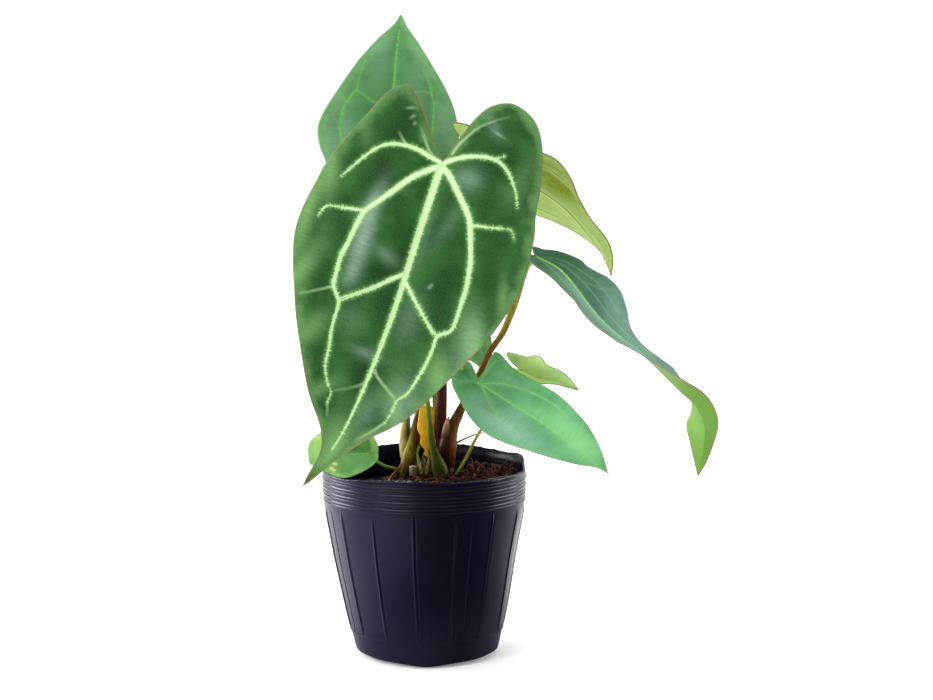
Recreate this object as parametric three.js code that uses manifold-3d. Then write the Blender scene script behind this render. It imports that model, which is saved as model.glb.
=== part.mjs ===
// A potted anthurium hybrid: eight heart-shaped leaves on two shoots in a black flexible nursery pot.
// Millimetres, +Z up, origin at the middle of the pot's flat base, +X to the right and +Y to the back.
import * as THREE from "three";
import { mergeVertices } from "three/addons/utils/BufferGeometryUtils.js";
import Module from "manifold-3d";

const wasm = await Module();
wasm.setup();

// Pot
const POT_HEIGHT = 113.6;
const POT_RIM_RADIUS = 60.5;
const POT_WALL = 0.9;
const POT_FLOOR = 1.4;
const POT_BASE_RADIUS = 38.5;
const POT_FOOT_RADIUS = 42.6;
const FOOT_TOP = 15.6;
const FOOT_TOP_RADIUS = 45.3;
const POT_SHOULDER = 91;
const POT_SHOULDER_RADIUS = 59.6;
const HOOPS = 4;
const HOOP_LOWEST = 93.9;
const HOOP_SPACING = 4.25;
const HOOP_HEIGHT = 0.7;
const WALL_RIBS = 15;
const WALL_RIB_HEIGHT = 0.5;
const RIB_TURN = -5.2;
const FACETS_PER_RIB = 4;
const DRAIN_HOLES = 8;
const DRAIN_RADIUS = 3.5;
const DRAIN_CIRCLE = 27;

// The pot's rim: how far it rises to the back, how far it waves, and the tear on its right
const RIM_RISE = 2.4;
const RIM_WAVE = 1.6;
const TEAR_DEPTH = 5;
const TEAR_TURN = 100;
const TEAR_WIDTH = 5;

// Soil
const SOIL_TOP = 106.4;
const SOIL_TILT = 0.06;
const SOIL_DOME = 0.0012;
const SOIL_CLEAR = 0.7;
const SOIL_WALL_TOP = 98;
const SOIL_RINGS = [0.82, 0.6, 0.38, 0.18, 0];
const SOIL_FACETS = 30;
const SOIL_CHIPS = 34;
const CHIP_SIZE = [2.2, 5];
const CHIP_CIRCLE = 50;
const SOIL_FIBRES = 12;
const FIBRE_LENGTH = [5, 11];
const FIBRE_PATCH = { x: [22, 48], y: [-8, 16] };

// Leaves
const BLADE = 0.8;
const GAP = 0.3;
const STALK_SIDES = 8;
const STALK_STEPS = 14;
const CROWN_SIDES = 10;
const CROWN_STEPS = 5;
const BIT_SIDES = 6;
const BIT_STEPS = 6;

const DEGREE = Math.PI / 180;

// The same draw each time, from 0 to 1
let seed = 7;
function draw() {
  seed = (seed * 16807) % 2147483647;
  return seed / 2147483647;
}

const drawFrom = ([low, high]) => low + (high - low) * draw();

const at = (x, y, z = 0) => new THREE.Vector3(x, y, z);
const curve = (points) =>
  new THREE.CatmullRomCurve3(points.map((p) => at(...p)), false, "catmullrom", 0.5);
const clamp = (value) => Math.min(Math.max(value, 0), 1);

function between(values, share) {
  const place = clamp(share) * (values.length - 1);
  const low = Math.min(Math.floor(place), values.length - 2);
  return values[low] + (values[low + 1] - values[low]) * (place - low);
}

// A closed geometry as a solid for joining and cutting
function solid(geometry) {
  const bare = geometry.clone();
  bare.deleteAttribute("normal");
  bare.deleteAttribute("uv");
  const merged = mergeVertices(bare, 1e-4);
  const corners = [];
  const index = merged.index.array;
  for (let i = 0; i < index.length; i += 3) {
    const [a, b, c] = [index[i], index[i + 1], index[i + 2]];
    if (a !== b && b !== c && c !== a) corners.push(a, b, c);
  }
  const mesh = new wasm.Mesh({
    numProp: 3,
    vertProperties: new Float32Array(merged.attributes.position.array),
    triVerts: new Uint32Array(corners),
  });
  return new wasm.Manifold(mesh);
}

// The largest body of a solid that a cut may have left in several
function largest(body) {
  const pieces = body.decompose();
  return pieces.reduce((best, piece) => (piece.volume() > best.volume() ? piece : best));
}

function geometryOf(body) {
  const mesh = body.getMesh();
  const geometry = new THREE.BufferGeometry();
  geometry.setAttribute("position", new THREE.BufferAttribute(new Float32Array(mesh.vertProperties), 3));
  geometry.setIndex(new THREE.BufferAttribute(new Uint32Array(mesh.triVerts), 1));
  geometry.computeVertexNormals();
  return geometry;
}

const FINISHES = {
  pot: { color: 0x1d1c26, roughness: 0.45 },
  soil: { color: 0x5a2f20, roughness: 1 },
  crown: { color: 0x7c6a2c, roughness: 0.6 },
  leaf_deep: { color: 0x2f7a38, roughness: 0.55 },
  leaf_mid: { color: 0x4f9a5c, roughness: 0.5 },
  leaf_olive: { color: 0x8fa63a, roughness: 0.5 },
  leaf_young: { color: 0xa0cc68, roughness: 0.45 },
  stalk_olive: { color: 0x8a7a30, roughness: 0.5 },
  stalk_red: { color: 0x5a2520, roughness: 0.5 },
  stalk_green: { color: 0x8ab040, roughness: 0.5 },
  papery: { color: 0xe0a020, roughness: 0.7 },
  grey: { color: 0xb0a898, roughness: 0.9 },
  root: { color: 0xc8c890, roughness: 0.8 },
  twig: { color: 0x6a3a28, roughness: 0.9 },
};

const plant = new THREE.Group();

function place(name, body, finish) {
  const material = new THREE.MeshStandardMaterial({ ...FINISHES[finish], metalness: 0 });
  const mesh = new THREE.Mesh(geometryOf(body), material);
  mesh.name = name;
  plant.add(mesh);
}

// The pot's rim stands a little higher at the back and dips at a tear on its right.
function rimHeight(turn) {
  const tear = TEAR_DEPTH * Math.exp(-(((turn / DEGREE - TEAR_TURN) / TEAR_WIDTH) ** 2));
  return POT_HEIGHT - RIM_RISE * Math.cos(turn) + RIM_WAVE * Math.cos(2 * turn) - tear;
}

function potBody() {
  const outside = [
    at(0, 0),
    at(POT_BASE_RADIUS, 0),
    at(POT_FOOT_RADIUS, 2.6),
    at(FOOT_TOP_RADIUS, FOOT_TOP),
    at(FOOT_TOP_RADIUS + 0.6, FOOT_TOP + 0.8),
    at((FOOT_TOP_RADIUS + POT_SHOULDER_RADIUS) / 2 + 0.6, (FOOT_TOP + POT_SHOULDER) / 2),
    at(POT_SHOULDER_RADIUS, POT_SHOULDER),
  ];
  for (let hoop = 0; hoop < HOOPS; hoop += 1) {
    const middle = HOOP_LOWEST + hoop * HOOP_SPACING;
    const radius = POT_SHOULDER_RADIUS + 0.1 + hoop * 0.15;
    outside.push(at(radius, middle - 1), at(radius + HOOP_HEIGHT, middle), at(radius, middle + 1));
  }
  outside.push(at(POT_RIM_RADIUS, POT_HEIGHT));
  const inside = [
    at(POT_RIM_RADIUS - POT_WALL, POT_HEIGHT),
    at(POT_SHOULDER_RADIUS - POT_WALL, POT_SHOULDER),
    at((FOOT_TOP_RADIUS + POT_SHOULDER_RADIUS) / 2 + 0.6 - POT_WALL, (FOOT_TOP + POT_SHOULDER) / 2),
    at(FOOT_TOP_RADIUS - POT_WALL, FOOT_TOP),
    at(POT_FOOT_RADIUS - POT_WALL, 3.4),
    at(POT_BASE_RADIUS - POT_WALL, POT_FLOOR),
    at(0, POT_FLOOR),
  ];
  const profile = [...outside, ...inside].map((p) => new THREE.Vector2(p.x, p.y));
  const facets = WALL_RIBS * FACETS_PER_RIB;
  const geometry = new THREE.LatheGeometry(profile, facets, RIB_TURN * DEGREE, 2 * Math.PI);
  geometry.rotateX(Math.PI / 2);
  const spots = geometry.attributes.position;
  for (let facet = 0; facet <= facets; facet += 1) {
    const turn = (RIB_TURN + ((facet % facets) * 360) / facets) * DEGREE;
    profile.forEach((point, step) => {
      const spot = facet * profile.length + step;
      const inWall = point.y > FOOT_TOP && point.y < POT_SHOULDER;
      if (inWall && facet % FACETS_PER_RIB === 0) {
        const radius = point.x + WALL_RIB_HEIGHT;
        spots.setX(spot, radius * Math.sin(turn));
        spots.setY(spot, -radius * Math.cos(turn));
      }
      if (point.y === POT_HEIGHT) spots.setZ(spot, rimHeight(turn));
    });
  }
  let body = solid(geometry);
  for (let hole = 0; hole < DRAIN_HOLES; hole += 1) {
    const turn = (2 * Math.PI * hole) / DRAIN_HOLES;
    const drain = new THREE.CylinderGeometry(DRAIN_RADIUS, DRAIN_RADIUS, 8, 10);
    drain.rotateX(Math.PI / 2);
    drain.translate(DRAIN_CIRCLE * Math.cos(turn), DRAIN_CIRCLE * Math.sin(turn), 0);
    body = body.subtract(solid(drain));
  }
  return body;
}

// Radius of the pot's cavity at a height
function cavity(height) {
  const share = (height - FOOT_TOP) / (POT_SHOULDER - FOOT_TOP);
  return FOOT_TOP_RADIUS + (POT_SHOULDER_RADIUS - FOOT_TOP_RADIUS) * Math.min(share, 1) - POT_WALL;
}

// The soil is a low mound with small bumps, a little higher on the right.
function soilHeight(x, y) {
  const bumps = 0.9 * Math.sin(x * 0.31 + 1) * Math.cos(y * 0.27) + 0.5 * Math.sin(x * 0.7 + y * 0.6);
  return SOIL_TOP + SOIL_TILT * x - SOIL_DOME * (x * x + y * y) + bumps;
}

function soilBody() {
  const edge = cavity(SOIL_WALL_TOP) - SOIL_CLEAR;
  const profile = [
    [0, POT_FLOOR + GAP],
    [POT_BASE_RADIUS - 2, POT_FLOOR + GAP],
    [POT_FOOT_RADIUS - POT_WALL - 1.5, 5],
    [cavity(FOOT_TOP) - SOIL_CLEAR, FOOT_TOP],
    [cavity(POT_SHOULDER) - SOIL_CLEAR, POT_SHOULDER],
    [edge, SOIL_WALL_TOP],
    ...SOIL_RINGS.map((ring) => [edge * ring, SOIL_TOP]),
  ];
  const geometry = new THREE.LatheGeometry(profile.map((p) => new THREE.Vector2(...p)), SOIL_FACETS);
  geometry.rotateX(Math.PI / 2);
  const spots = geometry.attributes.position;
  for (let i = 0; i < spots.count; i += 1) {
    const onTop = spots.getZ(i) > SOIL_WALL_TOP + 1;
    if (onTop) spots.setZ(i, soilHeight(spots.getX(i), spots.getY(i)));
  }
  let body = solid(geometry);
  for (let chip = 0; chip < SOIL_CHIPS; chip += 1) {
    const turn = drawFrom([0, 2 * Math.PI]);
    const radius = CHIP_CIRCLE * Math.sqrt(draw());
    const size = drawFrom(CHIP_SIZE);
    const shape = new THREE.BoxGeometry(size * 1.5, size, size * 0.7);
    shape.rotateX(drawFrom([0, Math.PI]));
    shape.rotateZ(drawFrom([0, 2 * Math.PI]));
    const [x, y] = [radius * Math.cos(turn), radius * Math.sin(turn)];
    shape.translate(x, y, soilHeight(x, y) + 0.1 * size);
    body = body.add(solid(shape));
  }
  for (let fibre = 0; fibre < SOIL_FIBRES; fibre += 1) {
    const [x, y] = [drawFrom(FIBRE_PATCH.x), drawFrom(FIBRE_PATCH.y)];
    const length = drawFrom(FIBRE_LENGTH);
    const root = 3;
    const shape = new THREE.CylinderGeometry(0.35, 0.5, length + root, 3);
    shape.rotateX(Math.PI / 2 + drawFrom([-0.5, 0.5]));
    shape.rotateY(drawFrom([-0.55, 0.55]));
    shape.translate(x, y, soilHeight(x, y) + (length - root) / 2);
    body = body.add(solid(shape));
  }
  return body;
}

// A stalk, stem or root: a round bar along a curve, its radius given at even steps
function bar(points, radii, sides = STALK_SIDES, extra = 0, steps = STALK_STEPS) {
  const path = curve(points);
  const geometry = new THREE.CylinderGeometry(1, 1, 1, sides, steps);
  const frames = path.computeFrenetFrames(steps, false);
  const centres = path.getSpacedPoints(steps);
  const spots = geometry.attributes.position;
  for (let i = 0; i < spots.count; i += 1) {
    const share = 0.5 - spots.getY(i);
    const step = Math.round(share * steps);
    const radius = between(radii, share) + extra;
    const spot = centres[step].clone();
    spot.addScaledVector(frames.normals[step], spots.getX(i) * radius);
    spot.addScaledVector(frames.binormals[step], spots.getZ(i) * radius);
    const end = (step === 0 ? -extra : 0) + (step === steps ? extra : 0);
    spot.addScaledVector(frames.tangents[step], end);
    spots.setXYZ(i, spot.x, spot.y, spot.z);
  }
  const body = solid(geometry);
  return body.volume() > 0 ? body : solid(flipped(geometry));
}

function flipped(geometry) {
  const index = geometry.index.array;
  for (let i = 0; i < index.length; i += 3) [index[i + 1], index[i + 2]] = [index[i + 2], index[i + 1]];
  return geometry;
}

// A place on a leaf's middle surface. a runs along the midrib from the stalk to the tip, and is
// negative in the two lobes. b is the distance from the midrib, positive on the first side.
function onLeaf(leaf, a, b) {
  const share = clamp(a / leaf.length);
  const along = leaf.path.getTangentAt(share);
  const across = new THREE.Vector3().crossVectors(along, leaf.facingPath.getPoint(share)).normalize();
  let up = new THREE.Vector3().crossVectors(across, along);
  const spot = leaf.path.getPointAt(share);
  const behind = Math.max(-a, 0);
  const turn = (leaf.lobeTurn ?? 0) * behind;
  if (turn === 0) {
    spot.addScaledVector(along, -behind);
  } else {
    spot.addScaledVector(along, -Math.sin(turn) / leaf.lobeTurn);
    spot.addScaledVector(up, (1 - Math.cos(turn)) / leaf.lobeTurn);
    up = up.multiplyScalar(Math.cos(turn)).addScaledVector(along, Math.sin(turn));
  }
  const side = b > 0 ? 0 : 1;
  const fold = between(leaf.fold[side], share) * DEGREE;
  const curl = (between(leaf.curl[side], share) || 1e-4) * DEGREE;
  const width = Math.abs(b);
  const out = (Math.sin(fold + curl * width) - Math.sin(fold)) / curl;
  const [height, length, start] = leaf.wave;
  const phase = (2 * Math.PI * a) / length + start + Math.sign(b);
  const lift = (Math.cos(fold) - Math.cos(fold + curl * width)) / curl
    + height * (width / 60) ** 2 * Math.sin(phase);
  return spot.addScaledVector(across, Math.sign(b) * out).addScaledVector(up, lift);
}

// Rows run from the midrib to the margin. Those of the lobes all start at the stalk.
function leafBody(leaf, thickness) {
  const [rows, columns] = leaf.rows;
  const spots = [];
  const index = [];
  leaf.sides.forEach((side, which) => {
    const margin = curve(side).getSpacedPoints(rows);
    const first = spots.length;
    for (let row = 0; row <= rows; row += 1) {
      const root = leaf.length * clamp((row / rows - leaf.lobeShare) / (1 - leaf.lobeShare));
      for (let column = 0; column <= columns; column += 1) {
        const share = column / columns;
        const edge = row === rows ? at(leaf.length, 0) : margin[row];
        spots.push(onLeaf(leaf, root + (edge.x - root) * share, edge.y * share));
      }
    }
    const spot = (row, column) => first + row * (columns + 1) + column;
    for (let row = 0; row < rows; row += 1) {
      for (let column = 0; column < columns; column += 1) {
        const near = [spot(row, column), spot(row + 1, column)];
        const far = [spot(row + 1, column + 1), spot(row, column + 1)];
        const [p, q, r, t] = which === 0 ? [...near, ...far] : [...near, ...far].reverse();
        index.push(p, q, r, p, r, t);
      }
    }
  });
  return sheet(spots, index, thickness);
}

// A thin closed solid round a surface, half its thickness on each face
function sheet(spots, index, thickness) {
  const flat = new THREE.BufferGeometry().setFromPoints(spots);
  flat.setIndex(index);
  const skin = mergeVertices(flat, 1e-3);
  const corners = [];
  const old = skin.index.array;
  for (let i = 0; i < old.length; i += 3) {
    const [a, b, c] = [old[i], old[i + 1], old[i + 2]];
    if (a !== b && b !== c && c !== a) corners.push(a, b, c);
  }
  skin.setIndex(corners);
  skin.computeVertexNormals();
  const { position, normal } = skin.attributes;
  const count = position.count;
  const points = [];
  for (const face of [1, -1]) {
    for (let i = 0; i < count; i += 1) {
      const point = new THREE.Vector3().fromBufferAttribute(position, i);
      const out = new THREE.Vector3().fromBufferAttribute(normal, i);
      points.push(point.addScaledVector(out, (face * thickness) / 2));
    }
  }
  const edges = new Map();
  for (let i = 0; i < corners.length; i += 3) {
    for (let side = 0; side < 3; side += 1) {
      const [a, b] = [corners[i + side], corners[i + ((side + 1) % 3)]];
      if (edges.has(`${b} ${a}`)) edges.delete(`${b} ${a}`);
      else edges.set(`${a} ${b}`, [a, b]);
    }
  }
  const faces = [...corners];
  for (let i = 0; i < corners.length; i += 3) {
    faces.push(corners[i] + count, corners[i + 2] + count, corners[i + 1] + count);
  }
  for (const [a, b] of edges.values()) faces.push(a, a + count, b + count, a, b + count, b);
  const geometry = new THREE.BufferGeometry().setFromPoints(points);
  geometry.setIndex(faces);
  const body = solid(geometry);
  return body.volume() > 0 ? body : solid(flipped(geometry));
}

// Each leaf's midrib runs from its stalk to its tip. facing is the way its upper face looks, at even
// steps along it. fold is each side's rise from the midrib in degrees and curl its bend in degrees a
// millimetre. sides are the two margins from the notch round the lobe to the tip, as (a, b) places.
const LEAVES = {
  leaf_a: {
    finish: "leaf_deep",
    rows: [28, 5],
    midrib: [[10.5, -30, 290.5], [-0.5, -46, 257.5], [-19, -66, 201], [-43, -78, 145.5], [-65, -84, 115]],
    facing: [[0, -1, 0.35], [0.1, -1, 0.15]],
    fold: [[7, 14], [7, 14]],
    curl: [[-0.23, 0], [-0.23, 0]],
    lobeTurn: -0.004,
    wave: [1.2, 46, 0],
    lobeShare: 0.4,
    sides: [
      [[-3, 0], [-9, 5.6], [-22, 14.6], [-32, 21.6], [-39, 27], [-43, 33], [-41, 38], [-34, 43.6],
        [-20, 49.5], [2, 57.6], [18, 62.6], [31, 64.5], [59, 67], [79, 63.6], [107, 53.7], [130, 42],
        [152.5, 28], [170.6, 11.7], [181.6, 3], [201, 0]],
      [[-3, 0], [-8, -1.8], [-21.5, -6], [-36, -11], [-46, -17.5], [-51, -29], [-44, -43],
        [-28.7, -51.8], [-7, -57.7], [14.6, -60.5], [27, -63.3], [45, -64.8], [63, -64.4], [79, -59.7],
        [93, -54.5], [106, -48.2], [123, -40], [143, -30], [162, -15.8], [180, -5], [201, 0]],
    ],
  },
  leaf_b: {
    finish: "leaf_mid",
    rows: [20, 4],
    midrib: [[-21.5, 26, 278], [-18.5, 33, 335], [-17, 37, 355], [-14.5, 46, 379]],
    facing: [[0, -1, 0.1], [0, -1, 0.3]],
    fold: [[5, 5], [5, 5]],
    curl: [[-0.17, -0.17], [-0.17, -0.17]],
    wave: [0.8, 30, 0],
    lobeShare: 0.4,
    sides: [
      [[-4, 0], [-12, 8], [-22, 17], [-24, 27], [-17, 35], [-5, 40], [10, 41.5], [20, 41], [34, 40],
        [50, 35.5], [68, 25.4], [85.6, 13], [96, 5], [104.5, 0]],
      [[-4, 0], [-12, -8], [-24, -18], [-27, -28], [-18, -36], [-4, -36], [11, -38], [20, -42],
        [31, -44], [41, -41], [57, -32], [71, -23], [86, -12.4], [97, -3.5], [104.5, 0]],
    ],
  },
  leaf_c: {
    finish: "leaf_olive",
    rows: [20, 4],
    midrib: [[37, 14, 289.5], [69, 20, 274.5], [90, 26, 259.5], [105.5, 32, 241.5], [112.5, 36, 222]],
    facing: [[0.3, 0.75, 0.6], [0.6, 0.8, 0.2]],
    fold: [[6, 6], [6, 6]],
    curl: [[-0.23, -0.23], [-0.23, -0.23]],
    wave: [0.8, 34, 0],
    lobeShare: 0.36,
    sides: [
      [[-4, 0], [-12, 4.5], [-24, 11.5], [-31, 17.8], [-24, 21.5], [-8, 23], [8, 24.5], [24, 25.6],
        [33, 25.2], [44, 19.5], [56.4, 10.8], [70.7, 6], [87, 6], [99.4, 4], [108, 0]],
      [[-4, 0], [-9, -5], [-14, -10], [-12, -17], [-3, -20], [14, -23], [32, -22.5], [46, -19.7],
        [59, -15.3], [76, -8.9], [85.4, -5], [94, -1.5], [108, 0]],
    ],
  },
  leaf_d: {
    finish: "leaf_mid",
    rows: [26, 4],
    midrib: [[67, 14, 235.5], [82.5, 12, 226], [104.5, 8, 199], [130, 4, 177], [150, 2, 157.5],
      [161, 1, 147], [166.5, 2, 132], [163, 6, 104]],
    facing: [[0.54, -0.42, 0.72], [0.69, -0.45, 0.55], [0.69, -0.24, 0.68], [0.67, -0.1, 0.74],
      [0.66, 0.5, 0.6], [0.3, 0.95, -0.05]],
    fold: [[-2, 15, 7, 20, 28, 12], [0, 17, 10, 25, 10, 15]],
    curl: [[0, 0], [0, 0]],
    wave: [1.5, 40, 2],
    lobeShare: 0.3,
    sides: [
      [[-2, 0], [-5, 4], [-4, 8], [3, 12], [16, 18], [32, 24], [50, 27], [80, 26], [105, 20], [130, 13],
        [150, 6.5], [165, 3.5], [175, 0]],
      [[-2, 0], [-5, -5], [-5, -9], [3, -13], [14, -18], [20, -21], [25, -21], [40, -28], [58, -32],
        [70, -29], [78, -24], [92, -20], [105, -17.5], [125, -16.5], [138, -17], [149, -17], [156, -11],
        [166, -5], [175, 0]],
    ],
  },
  leaf_e: {
    finish: "leaf_mid",
    rows: [20, 4],
    midrib: [[33, -22, 164], [49.5, -36, 155], [75, -52, 140.5], [105.5, -62, 117.5]],
    facing: [[0.1, -1, 0.75], [0.1, -1, 0.5]],
    fold: [[6, 6], [6, 6]],
    curl: [[-0.23, -0.23], [-0.23, -0.23]],
    lobeTurn: -0.003,
    wave: [0.8, 30, 0],
    lobeShare: 0.42,
    sides: [
      [[-3.5, -2], [-10, -5.4], [-17, -8], [-20, -3], [-18, 5], [-13, 10.5], [-6, 14.5], [4.5, 19.1],
        [15, 23], [24, 25.2], [32, 25.3], [42.5, 23.2], [61.5, 16.6], [78.5, 8.3], [88.6, 1.8], [96, 0]],
      [[-3.5, -2], [-5, -10], [-7, -15.6], [-9, -20], [-9.6, -22.5], [-6.4, -23.4], [-2, -22.4],
        [5.3, -20.4], [14.7, -19.3], [37, -20.1], [49, -19.2], [60.5, -17], [70.5, -14.5], [79, -10.9],
        [87, -6.6], [96, 0]],
    ],
  },
  leaf_f: {
    finish: "leaf_young",
    rows: [16, 4],
    midrib: [[57, -6, 170], [68, -8, 165.5], [78.5, -8, 164], [91.5, -6, 158]],
    facing: [[-0.1, -1, 0.4], [0.1, -1, 0.5]],
    fold: [[57, 46], [6, 12]],
    curl: [[0, 0], [0.6, 17]],
    wave: [0, 30, 0],
    lobeShare: 0.36,
    sides: [
      [[-1.5, 0], [-4, 2], [-6, 5], [-2, 8], [6, 9], [16, 8], [26, 5], [37, 0]],
      [[-1.5, 0], [-4.5, -1.4], [-9, -3], [-12, -6.5], [-6, -8], [0, -9], [5, -12.5], [12, -13],
        [19, -9.5], [26, -6], [37, 0]],
    ],
  },
  leaf_g: {
    finish: "leaf_mid",
    rows: [14, 3],
    midrib: [[-30.5, -31.5, 124.5], [-44, -34, 124.5], [-55.5, -36, 123], [-65.5, -39, 120]],
    facing: [[-0.1, -1, 0.6], [-0.1, -1, 0.6]],
    fold: [[6, 6], [6, 6]],
    curl: [[-0.34, -0.34], [-0.34, -0.34]],
    wave: [0, 30, 0],
    lobeShare: 0.3,
    sides: [
      [[-1.5, 0], [-3.5, 3], [-4, 7], [-1, 11], [5, 13], [14, 15], [23, 16], [30, 13], [34, 8], [36.5, 0]],
      [[-1.5, 0], [-3.5, -2], [-3, -5], [1, -9], [8, -13], [16, -15], [24, -13], [31, -8], [36.5, 0]],
    ],
  },
  leaf_h: {
    finish: "leaf_mid",
    rows: [14, 3],
    midrib: [[22.5, 22, 198.5], [28.5, 21, 187], [35, 20, 176], [40.5, 19, 163]],
    facing: [[0.1, -1, 0.4], [0.1, -1, 0.4]],
    fold: [[6, 6], [6, 6]],
    curl: [[-0.23, -0.23], [-0.23, -0.23]],
    wave: [0, 30, 0],
    lobeShare: 0.36,
    sides: [
      [[-2, 0], [-6, 5], [-9, 11], [-4, 16], [5, 17], [18, 13], [28, 7], [42, 0]],
      [[-2, 0], [-6, -5], [-9, -11], [-4, -14], [5, -13], [18, -10], [28, -5], [42, 0]],
    ],
  },
  // The dry yellow-orange scale leaf on the right shoot has no lobes.
  sheath_papery: {
    finish: "papery",
    rows: [12, 3],
    midrib: [[8, 0.5, 113], [4.5, 0.5, 120], [1.5, 1, 130], [0.5, 1.5, 140], [0, 2.5, 149]],
    facing: [[0.2, -1, 0], [0.2, -1, 0]],
    fold: [[4, 4], [4, 4]],
    curl: [[-4, -4], [-3, -3]],
    wave: [0, 30, 0],
    lobeShare: 0,
    sides: [
      [[0, 0], [4, 1.8], [14, 3.6], [24, 4.6], [32, 4], [37, 0]],
      [[0, 0], [4, -1.8], [14, -3.2], [24, -4.2], [32, -3], [37, 0]],
    ],
  },
};

// Each stalk's route from the soil or its crown up to its leaf, and its radius at even steps
const STALKS = {
  petiole_e: {
    finish: "stalk_green",
    route: [[9.5, -8, 98], [9.5, -8, 104], [9.5, -8, 110], [7, -8.5, 118.5], [4.5, -8.5, 128],
      [3.5, -8.5, 138], [2.5, -9, 148], [1.5, -10, 160], [4, -11, 170], [11.5, -12, 174.5],
      [19.5, -10.5, 173], [26, -11.5, 168.5], [30.5, -15, 164.5], [33, -22.5, 164]],
    radii: [4.6, 4.4, 2, 1.5, 1.4, 1.3, 1.2, 1.2, 1.2],
    leaf: "leaf_e",
  },
  petiole_a: {
    finish: "stalk_red",
    route: [[11, 3, 109.5], [10, 3, 121.5], [9.5, 2.5, 133.5], [10, 1, 146.5], [10.5, -1, 160.5],
      [10.5, -5, 188], [10, -9, 223.5], [10, -13, 258.5], [10.5, -17, 276], [10.5, -23, 285.5],
      [10.5, -30, 291]],
    radii: [3.9, 3.7, 2.9, 2.5, 2.4, 2.4, 2.6, 2.2],
    leaf: "leaf_a",
  },
  petiole_d: {
    finish: "stalk_olive",
    route: [[13.5, -1, 111], [13.5, -2, 121], [14.5, -2, 129], [17, -1, 136.5], [19.5, 0, 141.5],
      [23.5, 2, 149.5], [32, 6, 165], [39, 8, 179.5], [45.5, 10, 190.5], [51.5, 12, 203.5],
      [57, 13, 216], [62, 14, 229], [67, 14, 236]],
    radii: [4.6, 5.6, 3.4, 2.2, 1.9, 1.8, 1.8, 1.8, 1.8, 1.9, 1.8],
    leaf: "leaf_d",
  },
  petiole_b: {
    finish: "stalk_olive",
    route: [[-11, 7, 108.5], [-11.5, 8, 119.5], [-12, 8.5, 129.5], [-11.5, 9, 139.5], [-12.5, 12, 162],
      [-15.5, 18, 203.5], [-19.5, 26, 245], [-21.5, 31, 265.5], [-22, 30, 273.5], [-21.5, 25, 278.5]],
    radii: [2.9, 2.8, 2.2, 1.7, 1.6, 1.6, 1.7, 1.5],
    leaf: "leaf_b",
  },
  petiole_h: {
    finish: "stalk_olive",
    route: [[-7.5, 4, 111.5], [-7, 4, 121], [-6, 4.5, 132], [-3, 5.5, 145.5], [1.5, 9, 159.5],
      [8, 15, 177], [15, 21, 190], [20.5, 23.5, 197], [23, 21.5, 199]],
    radii: [3.2, 2.8, 1.8, 1.4, 1.2, 1.2, 1.1],
    leaf: "leaf_h",
  },
  petiole_c: {
    finish: "stalk_green",
    route: [[12.5, 7, 112], [9, 9.5, 132.5], [6, 9.5, 149.5], [7, 8, 174.5], [10.5, 6, 210.5],
      [19, 5, 246], [29, 7, 272.5], [35.5, 11, 285], [37, 15, 290]],
    radii: [2, 1.5, 1.4, 1.4, 1.4, 1.5, 1.4],
    leaf: "leaf_c",
  },
  petiole_f: {
    finish: "stalk_green",
    route: [[12, -5.5, 97], [15, -5, 102], [19, -4, 108], [24.5, -3, 117], [29, -2, 126], [33.5, -1, 134],
      [40, 0, 144.5], [47, 1, 155.5], [53, 0, 164], [57.5, -7, 170.5]],
    radii: [1.1, 1, 0.9, 0.9, 0.8],
    leaf: "leaf_f",
  },
  petiole_g: {
    finish: "stalk_green",
    route: [[-7, 4, 96], [-9, 3, 101], [-11.5, -1, 105.5], [-14, -4, 109], [-17.5, -9, 112], [-22, -14, 114],
      [-26, -20, 117], [-28.5, -25, 120], [-31, -31.5, 124.5]],
    radii: [1.1, 1, 0.9, 0.9, 0.8],
    leaf: "leaf_g",
  },
};

// The two short stems stand in the soil and carry the stalks.
const CROWNS = {
  crown_left: {
    finish: "crown",
    route: [[-8.5, 6, 84], [-9, 6, 98], [-9.5, 6, 108], [-9.5, 6, 116]],
    radii: [4.2, 5, 5, 4.2],
  },
  crown_right: {
    finish: "crown",
    route: [[12.5, 1, 82], [12.5, 1, 96], [12, 1.5, 108], [12, 1.5, 117]],
    radii: [5, 5.6, 5.8, 4.8],
  },
};

// Stubs, roots and twigs that stand in the soil or on a shoot
const BITS = {
  stub: {
    finish: "grey",
    route: [[-7, -6, 98], [-6.5, -6, 106], [-6.5, -6, 111.5], [-6.5, -6, 113.5]],
    radii: [2.4, 2.6, 2.4],
  },
  root_pale: {
    finish: "root",
    route: [[-3, 3, 124.5], [-4.5, 2.5, 119], [-3.5, 1, 115], [-2, -1, 109.5], [-2, -2, 102]],
    radii: [0.6, 0.8, 0.7],
  },
  root_cream: {
    finish: "root",
    route: [[1.5, -4, 124], [3, -4, 119], [2.5, -4, 113.5], [1.5, -4, 108], [0.5, -4, 101]],
    radii: [0.5, 0.7, 0.7],
  },
  twig_front: {
    finish: "twig",
    route: [[-13, -4, 114.5], [-15.5, -7, 111.5], [-19.5, -12, 107.5], [-22, -16, 101]],
    radii: [0.5, 0.6],
  },
  twig_back: {
    finish: "twig",
    route: [[15, 0, 124], [19.5, 2, 126], [25, 3, 128.5], [30.5, 4, 130.5], [35.5, 5, 131.5]],
    radii: [0.7, 0.5, 0.3],
  },
};

// Each piece that others are cut clear of also has a fat copy, larger by the gap all round.
const fat = {};
const cutClear = (body, names) => names.reduce((cut, name) => cut.subtract(fat[name]), body);

const leafBodies = {};
for (const [name, leaf] of Object.entries(LEAVES)) {
  leaf.path = curve(leaf.midrib);
  leaf.length = leaf.path.getLength();
  leaf.facingPath = curve(leaf.facing);
  leafBodies[name] = leafBody(leaf, BLADE);
  fat[name] = leafBody(leaf, BLADE + 2 * GAP);
}

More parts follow.
